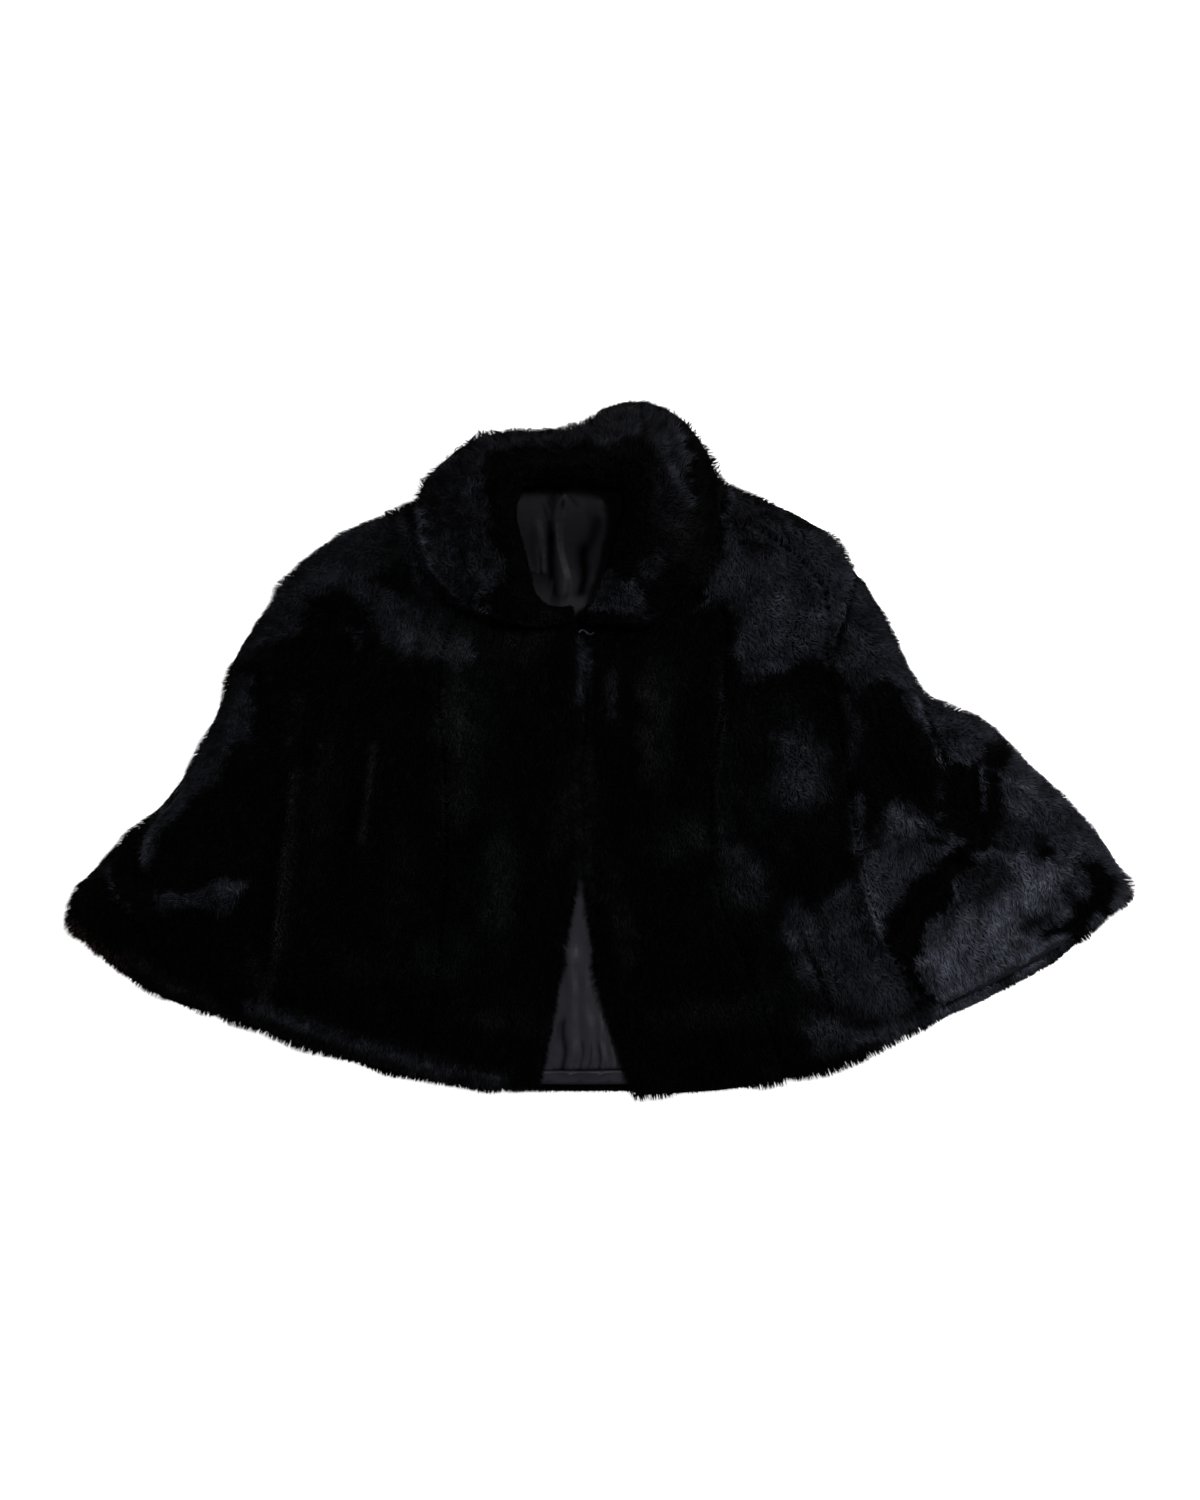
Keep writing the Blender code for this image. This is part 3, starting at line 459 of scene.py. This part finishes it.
def blackWithPaintedLightAt(x, y):
    flat = np.column_stack([x, y, np.zeros(len(x))]) * mm
    lineX, lineY = x, y
    size, reach = toneAndPaintedLight["wander"]
    smaller, share = toneAndPaintedLight["wanderFine"]
    x = x + reach * (noiseAt(flat, size, 5) + share * noiseAt(flat, size / smaller, 6))
    y = y + reach * (noiseAt(flat, size, 7) + share * noiseAt(flat, size / smaller, 8))
    shades = {name: np.array(linearFrom(toneAndPaintedLight[name])) for name in ("slate", "moss", "ash")}
    strength = {name: np.zeros(len(x)) for name in shades}
    for outline, softMm, gain, name in toneAndPaintedLight["areas"]:
        strength[name] += gain * insideOf(outline, x, y, softMm)
    for cx, cy, long, wide, turn, gain, name in toneAndPaintedLight["spots"]:
        c, s = math.cos(math.radians(turn)), math.sin(math.radians(turn))
        dx, dy = x - cx, y - cy
        along, across = (dx * c + dy * s) / long, (dy * c - dx * s) / wide
        strength[name] += gain * np.exp(-(along ** 2 + across ** 2) ** toneAndPaintedLight["spotEdge"])
    for name, rows in (("slate", toneAndPaintedLight["strokes"]), ("ash", toneAndPaintedLight["greyStrokes"])):
        for path, leftWide, rightWide, gain in rows:
            away, across = alongPath(path, lineX, lineY)
            strength[name] += gain * np.exp(-(away / np.where(across > 0, leftWide, rightWide)) ** 2)
    mottle = 1 + sum(share * noiseAt(flat, size, 9) for size, share in toneAndPaintedLight["mottle"])
    colour = np.tile(np.array(linearFrom(toneAndPaintedLight["black"])), (len(x), 1))
    for name, shade in shades.items():
        colour = colour + (np.clip(strength[name], 0, toneAndPaintedLight["most"]) * mottle)[:, None] * shade
    return colour


def brownedAt(x, y):
    total = np.zeros(len(x))
    for path, reach, share in toneAndPaintedLight["browned"]:
        total = np.maximum(total, share * np.exp(-(alongPath(path, x, y)[0] / reach) ** 2))
    return total


# Finding what is open to the air

def triangleArrays(node):
    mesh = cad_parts[node].data
    mesh.calc_loop_triangles()
    points = np.empty(len(mesh.vertices) * 3)
    mesh.vertices.foreach_get("co", points)
    corners = np.empty(len(mesh.loop_triangles) * 3, int)
    mesh.loop_triangles.foreach_get("vertices", corners)
    return points.reshape(-1, 3), corners.reshape(-1, 3)


cadTriangles = {node: triangleArrays(node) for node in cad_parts}


def treeOfOthers(node):
    points, corners, start = [], [], 0
    for other, (p, c) in cadTriangles.items():
        if other != node:
            points.append(p)
            corners.append(c + start)
            start += len(p)
    return BVHTree.FromPolygons(np.concatenate(points).tolist(), np.concatenate(corners).tolist())


othersOf = {node: treeOfOthers(node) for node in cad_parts}

openAir = {
    "lowestNormal": -0.55,   # a face that looks further down than this is underneath
    "fromFloorMm": 1.0,
    "fromSeamMm": 0.8,       # a face this near another piece is the inside of a seam
    "liftMm": 0.2,           # a ray starts this far over its face
}


def uncovered(node, places, coverMm):
    above, lift = Vector((0, 0, 1)), Vector((0, 0, openAir["liftMm"] * mm))
    return np.array([othersOf[node].ray_cast(Vector(place) + lift, above, coverMm * mm)[0] is None
                     for place in places])


def openShare(node, coverMm):
    points, corners = cadTriangles[node]
    a, b, c = points[corners[:, 0]], points[corners[:, 1]], points[corners[:, 2]]
    normals = np.cross(b - a, c - a)
    areas = np.linalg.norm(normals, axis=1)
    normals /= np.maximum(areas, 1e-12)[:, None]
    middles = (a + b + c) / 3
    isOpen = np.zeros(len(corners), bool)
    for k, (middle, normal) in enumerate(zip(middles, normals)):
        if normal[2] < openAir["lowestNormal"] or middle[2] < openAir["fromFloorMm"] * mm:
            continue
        if othersOf[node].find_nearest(Vector(middle), openAir["fromSeamMm"] * mm)[0] is not None:
            continue
        isOpen[k] = uncovered(node, (middle, a[k], b[k], c[k]), coverMm).any()
    return normals, areas / 2, isOpen


def outwardNormals(node, normals, areas, isOpen):
    points, corners = cadTriangles[node]
    keys = np.round(points / (sameMm["grid"] * mm)).astype(int)
    _, group = np.unique(keys, axis=0, return_inverse=True)
    group = group.ravel()
    total = np.zeros((group.max() + 1, 3))
    for k in range(3):
        np.add.at(total, group[corners[isOpen, k]], normals[isOpen] * areas[isOpen, None])
    total /= np.maximum(np.linalg.norm(total, axis=1), 1e-12)[:, None]
    return total[group]


# Pieces

def meshPiece(name, points, triangles, material, shade=True):
    mesh = bpy.data.meshes.new(name)
    mesh.vertices.add(len(points))
    mesh.vertices.foreach_set("co", np.asarray(points, np.float32).ravel())
    mesh.loops.add(len(triangles) * 3)
    mesh.loops.foreach_set("vertex_index", np.asarray(triangles, np.int32).ravel())
    mesh.polygons.add(len(triangles))
    mesh.polygons.foreach_set("loop_start", np.arange(0, len(triangles) * 3, 3, dtype=np.int32))
    mesh.update(calc_edges=True)
    mesh.validate()
    if shade:
        mesh.shade_smooth()
    mesh.materials.append(material)
    piece = bpy.data.objects.new(name, mesh)
    bpy.context.scene.collection.objects.link(piece)
    return piece


def paint(piece, colours, layerName="pileToneAndPaintedLight"):
    layer = piece.data.color_attributes.new(layerName, "FLOAT_COLOR", "POINT")
    rgba = np.ones((len(piece.data.vertices), 4), np.float32)
    rgba[:, :3] = colours
    layer.data.foreach_set("color", rgba.ravel())


def rigged(piece):
    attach(piece, "root")
    return piece


pile = {
    "depthMm": 4.2,        # how deep the pile stands on its skin
    "rootMm": 0.4,         # a lock starts this far under the skin
    "leastMm": 1.0,        # and rises at least so much
    "tipMm": 0.2,
    "lengthMm": (4.2, 6.6),
    "halfWidthMm": (0.36, 0.57),
    "thickShare": 0.8,     # how thick a lock is for its half width
    "floorMm": {"tip": 0.4, "root": 0.3, "side": 0.05},   # none of it goes lower than this
    "perSquareMetre": 565000,
    "coverMm": 4.0,        # fur with another piece this close above it has no pile
    "stray": 0.5,
    "lumps": ((34.0, 1.0), (15.0, 1.1), (6.5, 0.9), (3.2, 0.6)),  # size and height
    "ruffle": (5.0, 80),   # size in millimetres and turn in degrees
    "strayTurn": 18,
    "rimTufts": (
        # x, y, radius, how much further out (or in) the rim is
        (87, 202, 22, 5.5), (210, 86, 30, 1.0), (258, 32, 40, 1.0), (186, -217, 60, 4.5),
        (-375, -130, 29, 2.0), (168, 145, 16, 2.5), (-236, -207, 50, 1.2), (-339, -63, 22, 1.0),
        (80, -246, 40, -8.0), (141, 168, 26, -7.0), (329, -149, 28, -7.0), (266, -184, 30, -6.0),
        (-258, 74, 20, -4.0), (184, 126, 6, -4.0), (-218, 125, 40, 2.5), (-269, 52, 14, 1.5),
        (-5, -245, 40, -5.0), (-218, -214, 36, 2.0), (294, -169, 26, -3.0), (-303, -182, 18, -3.0),
        (-367, -89, 14, -3.0), (-312, -30, 28, -5.0), (223, -206, 24, 1.0), (-14, 228, 22, 2.6),
        (-229, 118, 14, 3.0), (384, -94, 14, 4.0), (-95, 224, 14, 2.0),
    ),
    "tuftTop": 1.4,        # over 1, a tuft is level in its middle
    "rimUp": (0.8, 0.5),   # a rim starts under this height of the normal, and is full so much lower
    "rimLumpShare": 0.5,   # how much lower the lumps are at a rim
    "rimReach": 2.3,       # how much further the hair stands out there
    "rimLumps": ((30.0, 2.6), (13.0, 1.8)),
    "edgeReach": 1.0,      # and at the front edges
    "rimRaised": 0.65,     # the skin is this much nearer to the outside there
    "uneven": 0.30,        # how much one lock's shade differs from the next
    "unevenRange": (0.25, 2.2),
    "brownShare": 0.5,     # so many locks are faded where the hair tips are
    "seamMm": 6.0,         # this near a seam the hair stands up and crosses it
    "seamUp": 0.6,         # if the normal's height is over this
    "seamRise": 2.0,
    "seamLean": 2.4,
}

furPanels = {
    # the cut's width, length and area; how far the nap swirls, in degrees; the size of a swirl
    "back_panel": {"flat": (0.75, 0.45), "area": 0.228, "swirl": 10, "swirlMm": 40, "seed": 11},
    "right_centre_gore": {"flat": (0.125, 0.37), "area": 0.035, "swirl": 22, "swirlMm": 30, "seed": 12},
    "right_side_front_gore": {"flat": (0.13, 0.40), "area": 0.039, "swirl": 22, "swirlMm": 30,
                              "seed": 13},
    "right_side_gore": {"flat": (0.17, 0.46), "area": 0.048, "swirl": 26, "swirlMm": 34, "seed": 14},
    "left_centre_gore": {"flat": (0.13, 0.38), "area": 0.038, "swirl": 22, "swirlMm": 30, "seed": 15},
    "left_side_front_gore": {"flat": (0.13, 0.42), "area": 0.042, "swirl": 26, "swirlMm": 30, "seed": 16},
    "left_side_gore": {"flat": (0.18, 0.46), "area": 0.052, "swirl": 34, "swirlMm": 30, "seed": 17},
    "collar_right": {"flat": (0.11, 0.30), "area": 0.018, "swirl": 80, "swirlMm": 18, "seed": 18,
                     "lump": 1.7, "ruffle": (8.0, 190), "innerReach": -0.8},
    "collar_left": {"flat": (0.11, 0.30), "area": 0.018, "swirl": 40, "swirlMm": 26, "seed": 19,
                    "lump": 1.6, "ruffle": (7.0, 110), "innerReach": -0.8},
}

neckCentre = (-22.0, 150.0)
napSource = (-22.0, 300.0)   # the nap of the body runs away from here, and the collar's from the neck
collarRoll = 1.2             # how much the collar's nap follows its roll


def napAt(places, normals, isCollar):
    if isCollar:
        nap = places[:, :2] / mm - np.array(neckCentre)
        nap = np.column_stack([nap, np.zeros(len(nap))])
        nap /= np.maximum(np.linalg.norm(nap, axis=1), 1e-9)[:, None]
        nap[:, 2] = -collarRoll * (nap * normals).sum(axis=1)
    else:
        nap = places[:, :2] / mm - np.array(napSource)
        nap = np.column_stack([nap, np.zeros(len(nap))])
        nap /= np.maximum(np.linalg.norm(nap, axis=1), 1e-9)[:, None]
    nap -= (nap * normals).sum(axis=1)[:, None] * normals
    return nap


def turned(nap, normals, angle):
    side = np.cross(normals, nap)
    return nap * np.cos(angle)[:, None] + side * np.sin(angle)[:, None]


def welded(piece):
    mesh = bmesh.new()
    mesh.from_mesh(piece.data)
    bmesh.ops.remove_doubles(mesh, verts=mesh.verts, dist=sameMm["weld"] * mm)
    bmesh.ops.recalc_face_normals(mesh, faces=mesh.faces)
    mesh.to_mesh(piece.data)
    mesh.free()


def finer(piece, levels):
    split = piece.modifiers.new("finer", "SUBSURF")
    split.subdivision_type = "SIMPLE"
    split.levels = split.render_levels = levels
    bpy.context.view_layer.update()
    mesh = bpy.data.meshes.new_from_object(piece.evaluated_get(bpy.context.evaluated_depsgraph_get()))
    piece.modifiers.clear()
    piece.data = mesh


def rimShare(upward):
    highest, fade = pile["rimUp"]
    return smooth((highest - upward) / fade)


def sunkAt(atRim):
    return pile["depthMm"] * (1 - pile["rimRaised"] * atRim)


def furSkin(node, outward, material):
    points, corners = cadTriangles[node]
    isOutside = np.linalg.norm(outward, axis=1) > 0.5   # the others have no open face beside them
    atRim = rimShare(outward[:, 2:]) * isOutside[:, None]
    skin = meshPiece(node + "_skin", points - outward * sunkAt(atRim) * mm, corners, material)
    welded(skin)
    finer(skin, finerLevels)
    mesh = skin.data
    count = len(mesh.vertices)
    places, facing = np.empty(count * 3), np.empty(count * 3)
    mesh.vertices.foreach_get("co", places)
    mesh.vertex_normals.foreach_get("vector", facing)
    places, facing = places.reshape(-1, 3), facing.reshape(-1, 3)
    x, y = places[:, 0] / mm, places[:, 1] / mm
    if node != "back_panel" and not node.startswith("collar"):
        places[:, 2] += reliefAt(x, y) * smooth(facing[:, 2]) * mm
    mesh.vertices.foreach_set("co", places.ravel())
    mesh.update()
    mesh.shade_smooth()
    # the skin between the locks takes the pile's painted light, dimmed by the painted shade at the locks'
    # feet
    paint(skin, blackWithPaintedLightAt(x, y) * toneAndPaintedLight["rootPaintedShade"])
    return skin


def seamNear(node, places):
    reach = pile["seamMm"] * mm
    towards, atSeam = np.zeros((len(places), 3)), np.zeros(len(places))
    for k, place in enumerate(places):
        found, _, _, away = othersOf[node].find_nearest(Vector(place), reach)
        if found is not None:
            towards[k] = np.array(found) - place
            atSeam[k] = 1 - away / reach
    towards[:, 2] = 0
    towards /= np.maximum(np.linalg.norm(towards, axis=1), 1e-9)[:, None]
    return towards, smooth(atSeam)


def scattered(node, share, outward, rng):
    _, areas, isOpen = share
    points, corners = cadTriangles[node]
    openTriangles = np.flatnonzero(isOpen)
    weights = areas[openTriangles]
    count = int(weights.sum() * pile["perSquareMetre"])
    picked = openTriangles[rng.choice(len(openTriangles), count, p=weights / weights.sum())]
    u, v = rng.random(count), rng.random(count)
    flip = u + v > 1
    u[flip], v[flip] = 1 - u[flip], 1 - v[flip]
    cornerShare = np.stack([1 - u - v, u, v], axis=1)
    places = (points[corners[picked]] * cornerShare[:, :, None]).sum(axis=1)
    isClear = uncovered(node, places, pile["coverMm"])
    places, picked, cornerShare = places[isClear], picked[isClear], cornerShare[isClear]
    up = (outward[corners[picked]] * cornerShare[:, :, None]).sum(axis=1)
    up /= np.maximum(np.linalg.norm(up, axis=1), 1e-9)[:, None]
    return places, up


def combed(node, places, up, isCollar, rng):
    facts = furPanels[node]
    swirl = noiseAt(places, facts["swirlMm"], facts["seed"]) * math.radians(facts["swirl"]) * 2
    ruffleMm, ruffleTurn = facts.get("ruffle", pile["ruffle"])
    ruffle = noiseAt(places, ruffleMm, facts["seed"] + 40) * math.radians(ruffleTurn)
    stray = rng.normal(0, math.radians(pile["strayTurn"]), len(places))
    return turned(napAt(places, up, isCollar), up, swirl + ruffle + stray)


def lumpsAt(rows, places, seed):
    return sum(high * noiseAt(places, size, seed + size) for size, high in rows)


def rimReachAt(node, places, up, isCollar):
    reach = pile["rimReach"]
    for x, y, radius, further in pile["rimTufts"]:
        away = np.hypot(places[:, 0] / mm - x, places[:, 1] / mm - y)
        reach = reach + further * smooth(pile["tuftTop"] - pile["tuftTop"] * away / radius)
    if isCollar:
        inward = ((places[:, :2] / mm - np.array(neckCentre)) * up[:, :2]).sum(axis=1) < 0
        reach = np.where(inward, furPanels[node]["innerReach"], reach)
    if node.endswith("centre_gore"):
        reach = reach + pile["edgeReach"]
    return reach


def lockPoints(roots, tips, up, half):
    axis = tips - roots
    side = np.cross(axis, up)
    side /= np.maximum(np.linalg.norm(side, axis=1), 1e-9)[:, None]
    lift = np.cross(side, axis)
    lift /= np.maximum(np.linalg.norm(lift, axis=1), 1e-9)[:, None]
    third = roots + lift * half * pile["thickShare"]
    spikes = np.stack([roots + side * half, roots - side * half, third, tips], axis=1)
    spikes[:, :, 2] = np.maximum(spikes[:, :, 2], pile["floorMm"]["side"] * mm)
    return spikes


def lockTones(places, lump, rng):
    count = len(places)
    x, y = (places[:, :2] / mm + rng.normal(0, toneAndPaintedLight["tuftMm"], (count, 2))).T
    # a lock on a higher lump is painted lighter and one in a dip darker, as painted light and shade; the
    # rest differs at random
    perLock = np.clip(1 + pile["uneven"] * (rng.normal(size=count) + lump), *pile["unevenRange"])
    tone = np.repeat(blackWithPaintedLightAt(x, y) * perLock[:, None], 4, axis=0)
    isTip = np.tile(np.array([0, 0, 0, 1.0]), count)
    # painted shade at the foot of each lock and painted light at its tip
    tone *= (toneAndPaintedLight["rootPaintedShade"] + (toneAndPaintedLight["tipPaintedLight"] - toneAndPaintedLight["rootPaintedShade"]) * isTip)[:, None]
    brown = (np.repeat(brownedAt(x, y) * (rng.random(count) < pile["brownShare"]), 4) * isTip)[:, None]
    return tone * (1 - brown) + np.array(linearFrom(toneAndPaintedLight["brown"])) * brown


def furPile(node, share, outward, material):
    facts = furPanels[node]
    isCollar = node.startswith("collar")
    rng = np.random.default_rng(facts["seed"])
    places, up = scattered(node, share, outward, rng)
    count = len(places)
    nap = combed(node, places, up, isCollar, rng)
    atRim = rimShare(up[:, 2])
    lump = lumpsAt(pile["lumps"], places, facts["seed"]) * facts.get("lump", 1.0)
    rimLump = lumpsAt(pile["rimLumps"], places, facts["seed"])
    lengths = rng.uniform(*pile["lengthMm"], count) * mm
    reach = rimReachAt(node, places, up, isCollar)
    sunk = sunkAt(atRim)
    rise = sunk + lump * (1 - pile["rimLumpShare"] * atRim) + (reach + rimLump) * atRim
    rise = (np.maximum(rise, pile["leastMm"]) + rng.normal(0, pile["stray"], count)) * mm
    if not isCollar:
        towards, atSeam = seamNear(node, places)
        atSeam *= up[:, 2] > pile["seamUp"]
        rise += pile["seamRise"] * mm * atSeam
        nap = nap + towards * (pile["seamLean"] * atSeam * rng.random(count))[:, None]
        nap /= np.maximum(np.linalg.norm(nap, axis=1), 1)[:, None]
    roots = places - up * (sunk + pile["rootMm"])[:, None] * mm - nap * lengths[:, None] * 0.5
    tips = roots + up * (rise + pile["tipMm"] * mm)[:, None] + nap * lengths[:, None]
    if not isCollar and node != "back_panel":
        for ends in (roots, tips):
            ends[:, 2] += reliefAt(ends[:, 0] / mm, ends[:, 1] / mm) * smooth(up[:, 2]) * mm
    tips[:, 2] = np.maximum(tips[:, 2], pile["floorMm"]["tip"] * mm)
    roots[:, 2] = np.maximum(roots[:, 2], pile["floorMm"]["root"] * mm)
    half = rng.uniform(*pile["halfWidthMm"], count)[:, None] * mm
    spikes = lockPoints(roots, tips, up, half)
    first = 4 * np.arange(count)[:, None]
    faces = np.concatenate([first + np.array(f) for f in ((0, 1, 2), (0, 3, 1), (1, 3, 2), (2, 3, 0))])
    piece = meshPiece(node + "_fur", spikes.reshape(-1, 3), faces, material)
    paint(piece, lockTones(places, lump, rng))
    return piece


furMaterial = shearedRabbitFur()
satinMaterial = blackSatin()

locks = 0
for node in furPanels:
    share = openShare(node, pile["coverMm"])
    outward = outwardNormals(node, *share)
    skin = rigged(furSkin(node, outward, furMaterial))
    hair = rigged(furPile(node, share, outward, furMaterial))
    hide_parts(node)
    locks += len(hair.data.polygons) // 4
    surface = sum(p.area for p in skin.data.polygons) / 2
    print("fur", node, "open area", round(float(share[1][share[2]].sum()), 4), "half surface",
          round(surface, 4), "triangles", len(skin.data.polygons), len(hair.data.polygons))
print("locks in all", locks)


# Lining

liningFolds = {
    "ridges": (
        # path, height, half width
        (((-46, 160), (-44, 140), (-43, 112)), 0.7, 7.0),
        (((-30, 192), (-31, 150), (-27, 112)), 1.4, 6.0),
        (((-2, 176), (0, 150), (-4, 118)), 1.0, 10.0),
        (((-20, -150), (-22, -231)), 1.4, 7.0),
        (((-9, -130), (-10, -231)), 1.0, 7.0),
        (((-1, -196), (2, -231)), 1.2, 4.0),
        (((8, -208), (11, -231)), 1.0, 4.0),
    ),
    "clearMm": 10.0,      # the folds fade out this near to fur that has less than this room under it
    "roomMm": 5.0,
    "seenFromMm": 13.7,   # just over the satin
    "bend": (19.0, 4.0),  # over such a size the folds bend so far
    "under": 12.4,
    "thick": 1.0,
    "shades": (
        # painted shade where the satin turns away into a fold, and painted highlight where it turns
        # towards the light: path, half width, share left
        (((-35, 162), (-36, 150)), 2.6, 0.3),
        (((-35, 152), (-36, 136), (-34, 106)), 3.6, 0.06),
        (((-12, 146), (-13, 112)), 4.6, 0.06),
        (((-2, 162), (-8, 152)), 6.0, 0.4),
        (((-43, 141), (-43, 110)), 1.0, 0.35),
        (((-34, 188), (-41, 172)), 1.2, 0.3),
        (((-32, 188), (-27, 173)), 1.1, 0.35),
        (((-33, 188), (-34, 168)), 0.8, 0.45),
        (((-30, 187), (-16, 174)), 1.0, 0.6),
        (((-56, 189), (-30, 191), (14, 186)), 2.4, 0.2),
        (((6, 184), (12, 168)), 7.0, 0.6),
        (((-30, 160), (-31, 137), (-27, 102)), 1.8, 1.3),
        (((-46, 145), (-45, 114)), 1.0, 1.35),
        (((-40, 145), (-40, 111)), 0.9, 1.35),
        (((-53, 157), (-40, 174)), 0.8, 1.3),
        (((-27, -196), (-27, -232)), 2.2, 0.25),
        (((-14, -210), (-14, -232)), 1.0, 0.5),
        (((-8, -212), (-8, -232)), 0.9, 0.5),
        (((-1, -214), (0, -232)), 0.9, 0.5),
        (((244, -186), (290, -167), (326, -145)), 3.0, 0.45),
    ),
    "neckPaintedShade": (((-60, 150), (20, 150)), 60.0, 0.24),   # painted shade over the satin in the neck, under the collar
}


def bent(x, y):
    flat = np.column_stack([x, y, np.zeros(len(x))]) * mm
    size, reach = liningFolds["bend"]
    return x + reach * noiseAt(flat, size, 21), y + reach * noiseAt(flat, size, 22)


def foldHeight(x, y, clear):
    x, y = bent(x, y)
    total = np.zeros(len(x))
    for path, height, width in liningFolds["ridges"]:
        total += height * smooth(1 - alongPath(path, x, y)[0] / width)
    return total * smooth(clear / liningFolds["clearMm"])


def satinPaintedShadeAndHighlight(x, y):
    x, y = bent(x, y)
    left = np.ones(len(x))
    for path, halfWidth, share in liningFolds["shades"] + (liningFolds["neckPaintedShade"],):
        left *= 1 - (1 - share) * np.exp(-(alongPath(path, x, y)[0] / halfWidth) ** 2)
    return left


def satinSheet(node, material):
    points, corners = cadTriangles[node]
    piece = meshPiece(node + "_cloth", points, corners, material)
    welded(piece)
    for vert in piece.data.vertices:
        vert.co.z = (liningFolds["under"] + liningFolds["thick"] * (vert.normal.z > 0)) * mm
    finer(piece, finerLevels)
    places = np.array([v.co for v in piece.data.vertices])
    above = Vector((0, 0, 1))
    start, room = liningFolds["seenFromMm"] * mm, liningFolds["roomMm"] * mm
    covered = [othersOf[node].ray_cast(Vector((x, y, start)), above, room)[0] is not None
               for x, y, z in places]
    under = KDTree(sum(covered))
    for k in np.flatnonzero(covered):
        under.insert((places[k, 0], places[k, 1], 0), int(k))
    under.balance()
    clear = np.array([under.find((x, y, 0))[2] for x, y, z in places]) / mm
    x, y = places[:, 0] / mm, places[:, 1] / mm
    places[:, 2] += foldHeight(x, y, clear) * mm
    piece.data.vertices.foreach_set("co", places.ravel())
    piece.data.update()
    piece.data.shade_smooth()
    paint(piece, np.repeat(satinPaintedShadeAndHighlight(x, y)[:, None], 3, axis=1), "satinPaintedShadeAndHighlight")
    return piece


satinCuts = {
    "back_lining": {"flat": (0.73, 0.43), "area": 0.198},
    "back_hem_facing": {"flat": (0.81, 0.013), "area": None},
}

for node in satinCuts:
    cloth = rigged(satinSheet(node, satinMaterial))
    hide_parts(node)
    print("satin", node, "half surface", round(sum(p.area for p in cloth.data.polygons) / 2, 4),
          "triangles", len(cloth.data.polygons))

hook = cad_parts["neck_hook"]
hook.data.materials.clear()
hook.data.materials.append(lacqueredSteelWire())


# Stage, light and camera

studio = {
    "centre": (-0.2, -1.2),       # of the picture, on the floor
    "pictureHeight": 1080.0,
    "distance": 6000.0,
    "levelMm": 18.0,              # the height at which the picture's scale is true
    "keyPlace": (1.9, 1.3, 3.6),  # metres
    "keyPower": 235.0,
    "keySize": 0.9,
    "fillPlace": (-2.2, 0.8, 3.2),
    "fillPower": 30.0,
    "fillSize": 2.4,
    "world": 0.10,
    "floorGlow": 1.0,             # the paper is lit from below, so it shows no shadow
    "floorSize": 14.0,            # metres, and so is the next
    "floorDrop": 0.0002,
    "paper": 0.9,
}


def buildStage():
    bpy.ops.mesh.primitive_plane_add(size=studio["floorSize"], location=(0, 0, -studio["floorDrop"]))
    floor = bpy.context.object
    floor.name = "floor"
    material, tree, shader = newMaterial("paperFloor")  # matt white paper
    shader.inputs["Base Color"].default_value = (studio["paper"], studio["paper"], studio["paper"], 1)
    shader.inputs["Roughness"].default_value = 1.0
    shader.inputs["Specular IOR Level"].default_value = 0.0
    shader.inputs["Emission Color"].default_value = (1, 1, 1, 1)
    shader.inputs["Emission Strength"].default_value = studio["floorGlow"]
    floor.data.materials.append(material)


def areaLight(name, place, power, size):
    data = bpy.data.lights.new(name, "AREA")
    data.energy, data.size = power, size
    lamp = bpy.data.objects.new(name, data)
    lamp.location = place
    lamp.rotation_euler = (-Vector(place)).to_track_quat("-Z", "Y").to_euler()
    bpy.context.scene.collection.objects.link(lamp)


def buildCamera():
    data = bpy.data.cameras.new("overhead")
    data.lens_unit = "FOV"
    data.sensor_fit = "VERTICAL"
    reach = (studio["distance"] - studio["levelMm"]) * mm
    data.angle = 2 * math.atan(studio["pictureHeight"] * mm / 2 / reach)
    data.clip_end = 100
    camera = bpy.data.objects.new("overhead", data)
    camera.location = (studio["centre"][0] * mm, studio["centre"][1] * mm, studio["distance"] * mm)
    bpy.context.scene.collection.objects.link(camera)
    bpy.context.scene.camera = camera


buildStage()
areaLight("key", studio["keyPlace"], studio["keyPower"], studio["keySize"])
areaLight("fill", studio["fillPlace"], studio["fillPower"], studio["fillSize"])
world = bpy.data.worlds.new("studio")
world.use_nodes = True
world.node_tree.nodes["Background"].inputs["Color"].default_value = (1, 1, 1, 1)
world.node_tree.nodes["Background"].inputs["Strength"].default_value = studio["world"]
bpy.context.scene.world = world
bpy.context.scene.view_settings.view_transform = "Standard"
buildCamera()
print("stage, light and camera")
